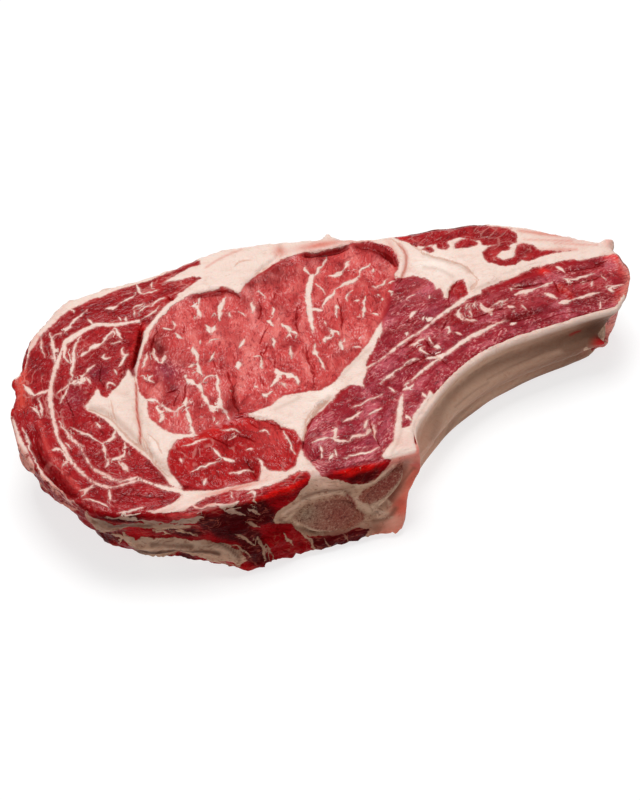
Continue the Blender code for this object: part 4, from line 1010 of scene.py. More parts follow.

# %% Draw the patches of lean: a tone, a strength, a middle, half widths and mostly no turn
# Three dark patches inside the eye's left seam, near (-72, 23), (-70.5, 22) and (-68, 29), are painted shade
# in the hollow there.
LEAN_PATCHES = [
    (BLOOD, 0.55, (-128, 26), (5, 9)), (BLOOD, 0.6, (-135, 5), (4, 10)), (BLOOD, 0.35, (-60, 54), (7, 6)),
    (BRIGHT, 0.7, (-55, -28.5), (13, 3.2)), (BRIGHT, 0.55, (-36, -31), (6, 4), -30),
    (BRIGHT, 0.7, (48, 54.5), (3, 2.5)), (BRIGHT, 0.9, (101.5, 15), (2, 5), 15),
    (BRIGHT, 0.9, (105, 3), (1.6, 5), 20), (BRIGHT, 0.5, (134, 8), (4, 12)),
    (BRIGHT, 0.35, (127, -6), (6, 5)), (BRIGHT, 0.5, (-66, -31), (9, 2.5)),
    (DEEP, 0.45, (-52, -50), (5, 7)), (DEEP, 0.45, (-55, -33), (5, 2.5), 20),
    (DEEP, 0.45, (87, -5), (12, 2.2)), (DEEP, 0.5, (96, 12), (12, 2.2)),
    (DEEP, 0.5, (116, 8), (10, 1.8), -5), (DEEP, 0.4, (120, 14), (12, 1.8)),
    (DEEP, 0.35, (-98, 17), (6, 5), 60), (DEEP, 0.4, (-110, 5), (4, 6)), (DEEP, 0.4, (87, 44), (9, 4), -30),
    (DEEP, 0.5, (98, 30), (4, 3.5)), (DEEP, 0.5, (89, 37), (3, 2.5)), (DEEP, 0.35, (68, 49), (5, 2)),
    (DEEP, 0.35, (50, 1), (8, 2.5), 20), (DEEP, 0.3, (30, -18), (12, 4), 25),
    (DEEP, 0.3, (-96, 51), (16, 5), 15), (DEEP, 0.4, (-124, 30), (4, 14), 15),
    (DEEP, 0.3, (-112, -42), (6, 4)), (DEEP, 0.3, (35, 17), (4, 8), -30), (DEEP, 0.35, (-72, -1), (6, 6)),
    (DEEP, 0.3, (-52, -14), (3, 10), 10), (DEEP, 0.3, (-72, 23), (3, 6)), (WINE, 0.65, (-74, 8), (9, 24)),
    (DEEP, 0.45, (-70.5, 22), (3, 7), 10), (DEEP, 0.25, (-12, 47), (14, 5), 10),
    (PURPLE, 0.5, (-70, 8), (6, 6)), (PURPLE, 0.4, (-67, -3), (5, 4)), (PURPLE, 0.4, (-99, 16), (6, 5)),
    (PURPLE, 0.35, (-112, 6), (5, 8)), (PURPLE, 0.25, (20, -20), (12, 7), 30),
    (PURPLE, 0.4, (-2, -50), (9, 7)), (PURPLE, 0.4, (72, 2), (12, 4), 10), (PURPLE, 0.3, (46, 8), (8, 4)),
    (TRANSLUCENT, 0.75, (136, 7), (4, 9)), (DEEP, 0.65, (116, -5), (12, 6)),
    (DEEP, 0.35, (85, -11), (14, 4), 8), (DEEP, 0.35, (112, 7), (8, 4)),
    (tone(214, 110, 112), 0.4, (82, 2), (14, 4)), (tone(214, 104, 104), 0.35, (46, 23), (7, 6)),
    (tone(226, 70, 64), 0.9, (135.5, 15.5), (2.6, 2.8)), (BRIGHT, 0.6, (128.6, -4.2), (2.5, 2.5)),
    (BLOOD, 0.45, (-62, -43), (14, 10)), (DEEP, 0.3, (-109, -49), (11, 4)),
    (DEEP, 0.22, (-8, 47), (14, 5), 5), (tone(228, 112, 106), 0.35, (-34, 20), (12, 14)),
    (DEEP, 0.2, (3, -1), (8, 6)), (DEEP, 0.2, (-66, 10), (9, 10)), (PURPLE, 0.35, (-72, 9.5), (4, 5)),
    (PURPLE, 0.3, (6.7, 51.3), (5, 2.5)), (PURPLE, 0.3, (34.1, 45), (3, 4)),
    (DEEP, 0.3, (-64.8, -25.4), (4, 2.5)), (DEEP, 0.35, (-50.3, -15.5), (2.5, 5)),
    (DEEP, 0.3, (-68, 29), (3, 4)), (BRIGHT, 0.8, (-33.5, -60), (4, 2.2)),
    (BRIGHT, 0.6, (-43.5, -62.5), (6, 2), 10), (tone(202, 96, 98), 0.5, (47, 20), (9, 7)),
    (TRANSLUCENT, 0.6, (134, 15), (3, 4)), (TRANSLUCENT, 0.5, (126, -10), (4, 3), 30),
    (CORAL, 0.5, (-40, -42), (8, 9)), (CORAL, 0.4, (-50, -16), (20, 6)),
    (CORAL, 0.4, (-52, 55), (6, 3), 20), (tone(206, 48, 42), 0.6, (-64.5, 46.5), (7, 2.6), 35),
    (CORAL, 0.5, (-134, 22), (5, 6)), (CORAL, 0.45, (122, 6), (8, 8)), (CORAL, 0.4, (92, 47), (4, 3)),
    (CORAL, 0.5, (-40, -36), (8, 10)), (CORAL, 0.4, (86, 31), (5, 6)),
]
# Last, blood darkens whole muscles: a strength, a middle, half widths and a turn.
DARKER_LEAN = [
    (0.6, (64, 3), (26, 6), 20), (0.6, (106, 4), (26, 9), 4), (0.4, (30, -14), (12, 5), 40),
    (0.2, (-108, 8), (22, 46), 10), (0.25, (-78, -50), (18, 6), -20),
]
print(len(LEAN_PATCHES), "patches of lean and", len(DARKER_LEAN), "darker muscles")

# %% Draw the shadows and the lines in the lean
# A shadow is a strength, a half width and a line. A line in the lean has a tone first.
SHADOWS = [
    (0.35, 1.6, (-70, 31), (-71, 25), (-71.5, 18)), (0.8, 1.6, (-50, 46.3), (-42, 46.8), (-34.5, 45.2)),
    (0.5, 2.6, (-24, 46.5), (-16, 50), (-8, 53.5)), (0.9, 1.3, (4, 57), (12, 55.4), (23, 56)),
    (0.5, 3.0, (4, 54), (10, 52.5)), (0.9, 2.0, (27, 55), (33, 52.5), (37.3, 47.5), (39.3, 41.5)),
    (0.5, 1.8, (-32, 43), (-29.5, 40)), (0.5, 1.2, (-46.5, -8), (-47.8, -14), (-48, -21)),
    (1.0, 1.0, (-76, 34.5), (-77.4, 30.5), (-79.4, 26), (-81.6, 21), (-84, 15.3), (-84.8, 10.5)),
    (0.8, 1.1, (-131.4, -12), (-131.2, -20.5), (-129.6, -26), (-127.2, -32.4), (-124.6, -39),
        (-122.2, -45)),
    (0.9, 1.9, (-128.7, -30), (-125.7, -37.5), (-122.6, -44)), (0.5, 1.3, (75, -6), (85, -5), (94, -4.3)),
    (0.3, 1.2, (-52, -47), (-50.5, -51), (-50.5, -57)), (0.5, 1.2, (-90, -37), (-86.5, -45)),
    (0.5, 0.9, (86, 11.6), (91, 10.6), (97, 9.8)), (0.6, 0.7, (-90.5, -36), (-88.5, -41), (-86, -47)),
    (0.9, 0.8, (-78.6, -53.2), (-78.2, -53.6)), (0.5, 2.4, (-56, -20), (-50, -19)),
]
# Painted light among these lines: the pale pink ones in the eye are painted highlights on ridges of fibre,
# the garnet ones painted shade in the valleys between them, and the two dark ones by the rib painted shade
# along the cleft there and under the strands above it.
LEAN_LINES = [
    (tone(232, 132, 126), 0.7, 2.2, (-26, 44.4), (-25.8, 36), (-27.6, 29.7), (-29, 22.1)),
    (tone(226, 118, 112), 0.55, 2.0, (-56.7, 45.5), (-57, 40.1), (-59.9, 32.8)),
    (EYE_RIDGE_HIGHLIGHT, 0.6, 1.8, (-15.1, 28), (-19.7, 19.2), (-24.5, 12.7)),
    (EYE_RIDGE_HIGHLIGHT, 0.6, 1.6, (-35.4, 8.8), (-39.6, 0.9), (-43.7, -10.6)),
    (tone(228, 120, 114), 0.5, 1.8, (24.2, 54.5), (21.4, 48.9)),
    (EYE_VALLEY_SHADE, 0.5, 1.6, (-12.9, 35.5), (-14.2, 27.7)),
    (EYE_VALLEY_SHADE, 0.5, 1.6, (-7, 35.1), (-9.6, 24.9), (-11.5, 16.7)),
    (EYE_VALLEY_SHADE, 0.5, 1.4, (-46.2, 12.1), (-48.1, 3.5)), (EYE_VALLEY_SHADE, 0.4, 1.4, (-21.7, 38.2), (-24, 32)),
    (tone(222, 84, 76), 0.5, 1.0, (-127.6, -3), (-127.6, -15.5), (-126, -24), (-123.4, -32.5), (-120, -41),
        (-117.5, -47)),
    (tone(228, 84, 68), 0.8, 2.6, (-129.5, 26), (-131.5, 18), (-132.5, 8)),
    (tone(200, 22, 22), 0.9, 1.7, (-75, 36), (-78, 30), (-82.5, 22), (-84, 16)),
    (tone(236, 150, 136), 0.8, 1.8, (136.5, 13), (138, 9), (137, 4.8), (134.8, 0), (131, -6.5),
        (127.5, -11)),
    (tone(234, 40, 32), 1.0, 1.7, (101.2, 16.3), (102.2, 15), (103, 14.2)),
    (tone(170, 2, 6), 0.9, 1.6, (104.9, 2), (105.6, -0.6), (107.4, -2)),
    (tone(240, 84, 66), 1.0, 1.0, (105, 6.2), (106.2, 3.8), (107.4, 1)),
    (tone(140, 6, 14), 0.8, 1.3, (53.3, 1.6), (55, -0.9), (57.2, -2.7), (62, -3.6), (65, -5.4),
        (68.7, -6.2)),
    (tone(130, 4, 12), 0.85, 1.3, (74.3, -4.9), (77.7, -5.1), (81.9, -5.3), (86.6, -4.4), (90.9, -3.8)),
    (tone(226, 120, 108), 0.6, 1.5, (131.5, -3), (128.3, -7.7), (125, -11.9)),
    (tone(232, 58, 50), 1.0, 2.2, (132.4, 16.2), (135.5, 14.6)),
]
print(len(SHADOWS), "shadows and", len(LEAN_LINES), "lines in the lean")

# %% Draw the lines and patches of the fat
# The grey slate lines are soft painted shade beside the folds in the fat.
FAT_LINES = [
    (RUST, 0.9, 0.55, (-85, 5.8), (-86.1, 0.4), (-86.7, -3.2), (-88, -7.5), (-88.6, -13.8), (-89.2, -19.1),
        (-90.7, -26)),
    (FAT_FOLD_SHADE, 0.5, 1.5, (-105.5, -2), (-101.4, -5), (-97.6, -9.6), (-95.8, -14), (-94, -18.3), (-92.3, -23),
        (-90, -27.5), (-87.6, -32.2), (-85.2, -39.2), (-82.8, -45.5)),
    (FAT_FOLD_SHADE, 0.3, 1.0, (-5, 66), (-6, 61)), (FAT_FOLD_SHADE, 0.4, 1.0, (69, 15), (76, 16.5), (80, 17.5)),
    (FAT_FOLD_SHADE, 0.5, 1.4, (-9.9, -25.4), (-16, -29.1), (-21.6, -35.7), (-25.9, -42.7)),
    (FAT_FOLD_SHADE, 0.3, 1.0, (-3, -17), (4, -11), (14, -4.5)), (FAT_FOLD_SHADE, 0.3, 1.0, (-33, -25), (-22, -22)),
    (FAT_FOLD_SHADE, 0.4, 1.2, (55, 41), (60, 36.6), (64, 33.4), (68, 30), (70, 26)),
    (RUST, 0.6, 0.9, (46, 51), (47.5, 45), (45, 38), (41, 31.5)),
    (FAT_FOLD_SHADE, 0.45, 1.2, (57, 14.4), (59, 18), (62.5, 20.8)),
    (FAT_FOLD_SHADE, 0.35, 1.0, (52, 34), (58, 31), (62, 25)),
    (tone(238, 150, 130), 0.95, 2.0, (136.5, 11.8), (138, 9.8), (137.9, 6.6), (136, 3), (134, -0.6),
        (131.4, -5.1), (129.3, -8.1), (126.4, -12.3)),
    (SALMON, 0.6, 0.7, (100, 43), (106, 40), (112, 36.5), (118, 34)),
    (SALMON, 0.5, 0.6, (100, 37), (110, 33.5), (120, 30)),
    (SALMON, 0.6, 0.8, (104, 29), (112, 27), (120, 24.5)),
    (SALMON, 0.5, 0.5, (112, 31), (122, 27), (130, 24.5)),
    (SALMON, 0.6, 0.6, (-120, 46), (-118, 41), (-117.5, 36)),
    (FAT_FOLD_SHADE, 0.3, 0.6, (14, -48.5), (10, -56), (5, -61)), (FAT_FOLD_SHADE, 0.3, 0.6, (-29, -50), (-27.8, -57)),
    (SALMON, 0.5, 0.6, (-40, 62), (-32, 66), (-22, 68)),
    (SALMON, 0.4, 0.6, (-108, 58), (-96, 61), (-84, 62)),
    (FAT_FOLD_SHADE, 0.24, 0.5, (84, 20), (94, 21.5), (104, 22.3)),
]
FAT_PATCHES = [
    (IVORY, 0.9, (57, 34), (11, 8), -30), (IVORY, 0.6, (-10, -22), (12, 4), 30),
    (IVORY, 0.6, (-86, -30), (3, 8)), (SALMON, 0.9, (12, 60.5), (13, 2.6), -3),
    (SALMON, 0.75, (-6, 62), (3.2, 4)), (SALMON, 0.6, (30, 58.5), (8, 2.2), -8),
    (SALMON, 0.55, (42, 48), (2.0, 8)), (SALMON, 0.5, (136, 24), (3.5, 5)),
    (SALMON, 0.45, (110, 38), (14, 2), -28), (SALMON, 0.5, (-123, 42), (3, 6), -35),
    (PINK, 0.6, (-108, 57), (10, 3), 40), (PINK, 0.5, (120, 31), (14, 5), -30),
    (PINK, 0.4, (12, -57), (6, 5)), (PINK, 0.45, (-117, 4), (8, 36), 8),
    (PINK, 0.45, (-108, -40), (12, 5), -15), (PINK, 0.5, (68, 2), (28, 8), 15),
    (PINK, 0.4, (112, 2), (20, 8)), (PINK, 0.4, (-4, -48), (20, 10)),
    (SALMON, 0.8, (-61, -59.6), (15, 1.5)), (SALMON, 0.4, (-33, -61.5), (8, 2.5)),
    (PINK, 0.4, (45, 34), (3, 2)), (SALMON, 0.7, (-74, -64), (9, 2)), (PINK, 0.5, (-112, -38), (18, 14)),
    (SALMON, 0.35, (-90, -62), (8, 2)), (PINK, 0.5, (-46, -56), (4, 3)),
    (SALMON, 0.35, (108, 26.5), (8, 1.2), -6),
]
print(len(FAT_LINES), "lines and", len(FAT_PATCHES), "patches in the fat")

# %% Lay the tones on the cut face
# Painted highlight on bundles of fibre that stand up, each muscle's own way, painted shade on sunk ones.
RIB_FIBRE_HIGHLIGHT, EYE_FIBRE_HIGHLIGHT = tone(198, 92, 104), tone(232, 126, 118)
CAP_FIBRE_HIGHLIGHT, SUNK_FIBRE_SHADE = tone(208, 60, 56), tone(140, 8, 18)


def stroke(plan, half, line):
    """1 on a line, fading to 0 to its sides and past its ends."""
    off, _, _ = to_line(plan, rounded(line))
    return np.exp(-((off / half) ** 2))


def shade(plan, shadows):
    """How deep in shadow each plan point lies, from several soft dark lines."""
    return np.max([strength * stroke(plan, half, line) for strength, half, *line in shadows], axis=0)


def lay_all(base, plan, patches, lines, seen=1):
    """Lays soft patches and then soft lines over a tone, as far as they are seen."""
    for colour, strength, middle, half, *turn in patches:
        base = lay(base, seen * strength * patch(plan, middle, half, *turn), colour)
    for colour, strength, half, *line in lines:
        base = lay(base, seen * strength * stroke(plan, half, line), colour)
    return base


def face_tones(plan):
    """Broad lean and fat colours of the cut face."""
    lean = np.tile(WINE, (len(plan), 1))
    lean = lay(lean, smoothstep(-1.5, 2.5, depth_in(plan, EYE)), CORAL)
    lean = lay(lean, smoothstep(-2.0, 3.0, depth_in(plan, PLUM_ZONE)), PLUM)
    lean = lay(lean, smoothstep(-0.5, 1.0, depth_in(plan, OVAL)), OVAL_RED)
    lean = lay_all(lean, plan, LEAN_PATCHES, LEAN_LINES)

    fibre_folds = folds_at(plan)
    violet = smoothstep(-1, 2, depth_in(plan, PLUM_ZONE))
    rosy = smoothstep(-1, 2, depth_in(plan, EYE)) * (1 - violet)
    # Painted highlight on raised folds of fibre and painted shade in sunk ones.
    lean = lay(lean, 0.75 * violet * smoothstep(0.05, 0.6, fibre_folds), RIB_FIBRE_HIGHLIGHT)
    lean = lay(lean, 0.6 * rosy * smoothstep(0.0, 0.7, fibre_folds), EYE_FIBRE_HIGHLIGHT)
    lean = lay(lean, 0.25 * (1 - violet - rosy) * smoothstep(0.1, 0.7, fibre_folds), CAP_FIBRE_HIGHLIGHT)
    lean = lay(lean, (0.4 + 0.25 * violet) * smoothstep(-0.05, -0.7, fibre_folds), SUNK_FIBRE_SHADE)
    lean = lay_all(lean, plan, [(BLOOD, *darker) for darker in DARKER_LEAN], [])
    fat = np.tile(CREAM, (len(plan), 1))
    return lean, lay_all(fat, plan, FAT_PATCHES, FAT_LINES)


lean_tone, fat_tone = face_tones(plan)
face_dark = shade(plan, SHADOWS)
print("broad tones laid on", len(plan), "points")

# %% [markdown]
# ## What the walls are made of
#
# The wall along the rib is membrane from top to foot. The front is dark lean with sinew, with painted
# shade under the overhanging cut face. What the photo hides is finished to match: the back is the outer
# layer of fat with a little lean showing through, and the underside is the same cut through the muscles
# as the face, so it uses the face's map with its edges wobbled.

# %% Find the fat of the walls and the underside
height = points[:, 2]
under = smoothstep(0.5, 0.8, -normals[:, 2])
wobble = np.column_stack([ripple(points, 14.0, 21.0), ripple(points, 14.0, 33.0)]) * 3.0
under_plan = points[:, :2] + wobble
under_fat = fat_depth(under_plan, FAT_BODIES, LEAN_ISLANDS, WIDE_SEAMS)
under_lean, under_cream = face_tones(under_plan)

worn_plan = plan + 1.3 * np.column_stack([ripple(points, 5.0, 61.0), ripple(points, 5.0, 67.0)])
front_fat = fat_depth(worn_plan, FRONT_BODIES, [], [])

# Torn layers of fat and lean alternate up the hidden walls: mostly fat at the back, mostly lean at the left.
layers = 2.2 * ripple(points * (0.35, 0.35, 1.0), 6.0, 40.0) + 1.2 * ripple(points, 3.0, 50.0)
back_fat = 2.1 + 1.8 * layers * smoothstep(-140, -60, points[:, 0]) * smoothstep(136, 110, points[:, 0])
side_fat = -2.4 + 1.6 * layers

faces_back = smoothstep(-0.2, 0.4, normals[:, 1])
wall_fat = np.where(in_view > 0.5, front_fat, faces_back * back_fat + (1 - faces_back) * side_fat)
wall_fat = wall_fat + rib_wall * (FAR - wall_fat)
print("fat or membrane on the walls:", int(((wall_fat > 0) & (is_face < 0.5)).sum()), "points")

# %% Outline the lean of the front wall: a tone, a strength and an outline
WALL_RED, WALL_BRIGHT, WALL_DEEP_AND_SHADE = tone(142, 8, 15), tone(222, 20, 16), tone(62, 3, 6)
# The darkest patches are partly the dark red of the muscles and partly painted shade; the one just under the
# cut face's overhanging edge, from (-115, -56.5) to (-97, -63.6), is painted shadow.
FRONT_LEAN = [
    (WALL_DEEP_AND_SHADE, 0.95, (-78, -67.5), (-68, -69), (-60, -66.5), (-50, -66), (-49, -70), (-48, -79),
        (-53, -80), (-58, -78), (-66, -84), (-72, -80), (-78, -73)),
    (WALL_DEEP_AND_SHADE, 0.9, (-66, -84), (-59, -79), (-55, -86), (-57, -96), (-63, -98), (-65, -92)),
    (WALL_DEEP_AND_SHADE, 0.9, (-95, -68.6), (-88, -69.5), (-80, -73.5), (-76, -77), (-83, -76.2), (-90, -73)),
    (WALL_DEEP_AND_SHADE, 1.0, (-115, -56.5), (-108, -59.5), (-101, -60.2), (-97, -63.6), (-103, -63.4),
        (-110, -60.8)),
    (WALL_DEEP_AND_SHADE, 0.75, (-117, -63), (-108, -65.5), (-106, -71), (-113, -70), (-119, -68)),
    (WALL_DEEP_AND_SHADE, 0.8, (-104, -80), (-92, -82.5), (-84, -84), (-84, -88), (-104, -85)),
    (WALL_DEEP_AND_SHADE, 0.85, (-39, -91), (-30, -92), (-20, -92.4), (-14, -91.5), (-18, -99), (-38, -99)),
    (WALL_DEEP_AND_SHADE, 0.8, (-16, -66.5), (-3, -65), (-3, -68), (-8, -71), (-15, -70)),
    (WALL_BRIGHT, 1.0, (-60, -66.4), (-50, -64.5), (-40, -61.3), (-34, -58), (-29, -59.3), (-28.6, -62.6),
        (-34, -64.6), (-42, -66.8), (-50, -67.8)),
    (WALL_BRIGHT, 1.0, (-25, -58), (-18, -60.2), (-10, -60.5), (1, -60.5), (1, -64), (-8, -66.5),
        (-16, -66)),
    (tone(196, 64, 62), 0.9, (-88.5, -64), (-80, -63.5), (-76.5, -66), (-78, -68.6), (-85, -68)),
    (tone(200, 70, 68), 0.8, (-78, -60), (-70, -59.5), (-58, -60.5), (-58, -64), (-68, -64.8),
        (-77, -63.5)),
    (tone(164, 16, 22), 0.9, (-106, -66), (-99, -66.3), (-97.6, -70), (-101, -73.2), (-105, -71)),
    (tone(150, 4, 12), 0.85, (-54, -80.5), (-49, -80), (-45, -83), (-41.5, -89.5), (-40.5, -96),
        (-50, -97.5), (-56, -95), (-56.5, -87)),
    (tone(176, 14, 16), 0.8, (-82, -89), (-74, -92), (-66, -96), (-62, -99), (-72, -99), (-82, -93)),
    (WALL_BRIGHT, 0.5, (-142, 30), (-131, 31), (-129, 18), (-130, 6), (-134, 2), (-142, 4)),
    (tone(226, 62, 54), 0.8, (-72, -62), (-64, -61.5), (-60, -63), (-66, -65)),
    (tone(222, 50, 44), 0.8, (-57, -61.5), (-50, -61.5), (-48, -64), (-55, -64.5)),
]
print(len(FRONT_LEAN), "patches of lean on the front")

# %% Draw the tones in the sinew of the front wall
# The dark brown patches under the cut face's edge, at (-110, -61) and (-90, -66.5), are painted shade.
FRONT_FAT_PATCHES = [
    (tone(226, 96, 74), 0.8, (0, -90), (3.5, 7), -20), (tone(218, 140, 118), 0.8, (-6, -95), (9, 4), 5),
    (tone(104, 72, 58), 0.85, (-110, -61), (13, 5), -20),
    (tone(112, 78, 64), 0.8, (-90, -66.5), (15, 4), -12), (UMBER, 0.85, (-66, -75), (16, 12)),
    (UMBER, 0.7, (-54, -91), (8, 8)), (BROWN, 0.8, (-104, -77), (2.5, 4)),
    (tone(206, 160, 140), 0.8, (-24, -67), (7, 4.5), -30), (BROWN, 0.5, (-22, -71.5), (9, 1.2)),
    (BROWN, 0.6, (-43, -79), (2.5, 5)), (tone(112, 44, 36), 0.85, (-27, -93), (14, 3.6)),
    (tone(178, 62, 62), 0.7, (12.6, -69), (2.6, 3.4)),
    (tone(222, 158, 138), 0.75, (-4.5, -92.5), (6, 3.4), 10),
    (tone(126, 80, 62), 0.7, (-12, -94), (4.5, 3)), (tone(206, 118, 96), 0.7, (8, -64.5), (9, 2.2), 4),
    (tone(170, 78, 64), 0.5, (-1, -84), (3, 4), -30), (tone(222, 186, 172), 0.9, (136, 24), (4, 6)),
    (tone(196, 150, 130), 0.6, (-3, -69.6), (7, 1.2), 22),
]
# On the strap, the pale line down its middle is a painted highlight and the two dark brown lines below it
# painted shade; the dark line under the cut face's edge from (-112, -62.4) is painted shade too.
FRONT_FAT_LINES = [
    (tone(186, 152, 130), 0.9, 1.3, (-106, -69.5), (-100, -73), (-92, -76), (-82, -79.6), (-74, -84),
        (-68, -90)),
    (tone(74, 44, 34), 0.9, 0.9, (-103.5, -76.5), (-96, -79), (-88, -81), (-80, -83.3), (-74, -87)),
    (tone(96, 62, 48), 0.7, 0.7, (-98, -74.6), (-90, -77.6), (-83, -80.2)),
    (tone(84, 50, 40), 0.8, 0.6, (-73, -82), (-69.5, -86.5), (-67, -91)),
    (tone(84, 50, 40), 0.8, 0.6, (-112, -62.4), (-104, -64.6), (-96, -67)),
    (tone(120, 70, 56), 0.6, 0.9, (7, -66), (0, -70.5), (-7, -72.2)),
    (tone(110, 74, 58), 0.8, 0.8, (-47.5, -78.5), (-43.5, -83.5), (-39, -88), (-33, -91.5)),
    (tone(112, 78, 62), 0.7, 0.9, (-36, -71.5), (-29, -70.2), (-22, -71.4), (-17, -74.4)),
    (tone(214, 176, 154), 0.8, 0.7, (-45, -76.5), (-38, -73.2), (-28, -72.2), (-20, -73.2)),
    (tone(216, 180, 158), 0.8, 0.8, (-15, -78), (-14.2, -83), (-11.5, -86.5), (-6, -88.5)),
    (tone(216, 180, 158), 0.7, 0.7, (-13.5, -72), (-6, -71.2), (0, -68.8), (6, -64.4)),
    (tone(104, 60, 48), 0.6, 0.6, (-11, -70.2), (-4, -69.2), (3, -66.2)),
    (tone(110, 74, 58), 0.7, 1.2, (-12, -90.5), (-6, -91), (-2, -87)),
    (tone(130, 80, 64), 0.6, 0.8, (12, -71), (6, -76), (0, -81), (-5, -86)),
    (tone(196, 78, 64), 0.85, 2.0, (0, -66), (7, -64.6), (15, -62.4)),
    (tone(124, 52, 42), 0.7, 1.7, (9.5, -66.5), (7.5, -71.5), (2.5, -77), (-4, -82.5)),
]
# A thin salmon layer of fat covers the corner under the rib's sawn head.
SALMON_EDGE = [
    (15, -59), (20, -60), (22, -68), (12, -76), (6, -82), (3, -88), (2, -99), (-14, -99), (-12, -95),
    (-6, -93), (-4, -89), (0, -83), (5, -78), (10, -71), (13, -65),
]
print(len(FRONT_FAT_PATCHES), "patches and", len(FRONT_FAT_LINES), "lines in the sinew")

# %% Lay the tones on the walls
SALMON_LIGHT, SALMON_DARK = tone(228, 116, 96), tone(180, 82, 68)
FLAP_PINK, END_PINK_AND_LIT = tone(216, 132, 118), tone(238, 146, 130)

wall_lean = np.tile(WALL_RED, (len(points), 1))
for colour, strength, *outline in FRONT_LEAN:
    cover = smoothstep(-1.5, 1.1, depth_in(worn_plan, outline))
    wall_lean = lay(wall_lean, in_view * strength * cover, colour)
# Partly the thin end's own pale pink, partly painted light on its end wall, which lies in shade.
wall_lean = lay(wall_lean, 0.8 * smoothstep(118, 130, points[:, 0]), END_PINK_AND_LIT)

wall_cream = np.tile(SINEW, (len(points), 1))
salmon = in_view * smoothstep(-3.5, 2.5, depth_in(worn_plan, SALMON_EDGE))
wall_cream = lay(wall_cream, salmon, SALMON_LIGHT)
wall_cream = lay(wall_cream, salmon * 0.6 * smoothstep(0.0, 0.6, ripple(points, 5.0, 77.0)), SALMON_DARK)
wall_cream = lay_all(wall_cream, plan, FRONT_FAT_PATCHES, FRONT_FAT_LINES, in_view)
wall_cream = lay(wall_cream, smoothstep(-116, -124, plan[:, 0]), FLAP_PINK)
wall_cream = lay(wall_cream, (1 - in_view) * faces_back, CREAM)
wall_cream = lay(wall_cream, smoothstep(30, 42, height) * (1 - in_view * 0.8), CREAM)
print("salmon corner:", int((salmon > 0.5).sum()), "points")

# %% [markdown]
# The membrane is the skin that lined the animal's ribs from inside. It is pale where it is stretched over
# the shoulder of the wall, partly its own rolled rim and partly a painted highlight. Painted shade browns
# the hollows below, which shows how the bone runs under it, and darkens it towards the thin end.

# %% Tone the membrane along the rib
RIB_EDGE = [
    (17, -52), (22, -46), (30, -38), (37, -31.5), (43, -27), (50, -23), (56, -20.3), (64, -18), (72, -17.2),
    (82, -15.8), (92, -15), (100, -14.3), (108, -12.8), (120, -12.5), (126, -15),
]
# Painted light on the membrane: the brown lines are painted shade in the hollows over the bone, the line of
# membrane tone between them a painted highlight on the bulge, and the pale band along the top edge partly
# its rolled rim and partly a painted highlight.
RIB_PAINT = [
    (BROWN, 0.35, 2.4, (24, -58), (30, -48), (37, -40.5), (45, -34.8), (60, -29), (75, -26), (95, -22.5),
        (112, -19)),
    (BROWN, 0.5, 1.6, (27, -62), (34, -52.5), (42, -47.5), (50, -43), (62, -38.5), (75, -35.5), (90, -33.5),
        (100, -31.5)),
    (MEMBRANE, 0.5, 1.8, (33, -50), (40, -43.5), (50, -38), (70, -33), (90, -29.5)),
    (BROWN, 0.6, 1.1, (36, -55), (43, -50.5), (55, -46), (70, -41), (85, -38.3), (97, -37)),
    (BROWN, 0.35, 0.5, (48, -31.5), (60, -26.5), (72, -23.5)),
    (BROWN, 0.35, 0.5, (56, -35), (70, -30.8), (84, -28)),
    (BROWN, 0.35, 0.5, (38, -45.5), (46, -40.5), (56, -36.8)),
    (BLOOD, 0.9, 0.6, (98.5, -22), (101, -21.3), (103.5, -21)), (tone(232, 192, 170), 0.55, 3.4, *RIB_EDGE),
]
# The dark patch near the thin end is painted shade.
RIB_PATCHES = [
    (tone(82, 50, 38), 0.75, (111, -20.5), (10, 4.5), 20),
    (tone(176, 92, 76), 0.3, (103, -33), (5, 2.6), 30),
]
THIN_END_SHADE, SHOULDER_PINK = tone(112, 72, 54), tone(206, 142, 118)
TAG_RED, RIM_CREAM_AND_HIGHLIGHT = tone(190, 30, 34), tone(252, 222, 208)


def rib_skin(plan):
    """The membrane's colour: pale on the shoulder, with painted shade in the hollows and towards the thin
    end.
    """
    skin = np.tile(MEMBRANE, (len(plan), 1))
    # Painted shade darkens the membrane towards the thin end.
    skin = lay(skin, smoothstep(40, 112, plan[:, 0]) * 0.85, THIN_END_SHADE)
    skin = lay(skin, 0.5 * smoothstep(34, 17, plan[:, 0]), SHOULDER_PINK)
    skin = lay_all(skin, plan, [], RIB_PAINT)
    skin = lay_all(skin, plan, RIB_PATCHES, [])
    return lay(skin * 0.88, 1.4 * patch(plan, TAG_AT, (2.5, 2.3)), TAG_RED)


# A pale band along the top of the wall: partly the membrane's rolled rim, partly a painted highlight.
membrane = lay(rib_skin(plan), 0.9 * smoothstep(36.5, 40.8, height), RIM_CREAM_AND_HIGHLIGHT)
wall_cream = lay(wall_cream, rib_wall, 0) + rib_wall[:, None] * membrane
print("membrane covers", int((rib_wall > 0.5).sum()), "points of the rib wall")

# %% [markdown]
# ## The sawn bones on the map
#
# The saw went through two bones at the front: the body of the backbone and, at an angle, the head of the
# rib. Each shows spongy bone, soaked red. They are outlines on the map too, because spongy bone has no
# sharp rim, and here it runs a little way over the skin of the meat.

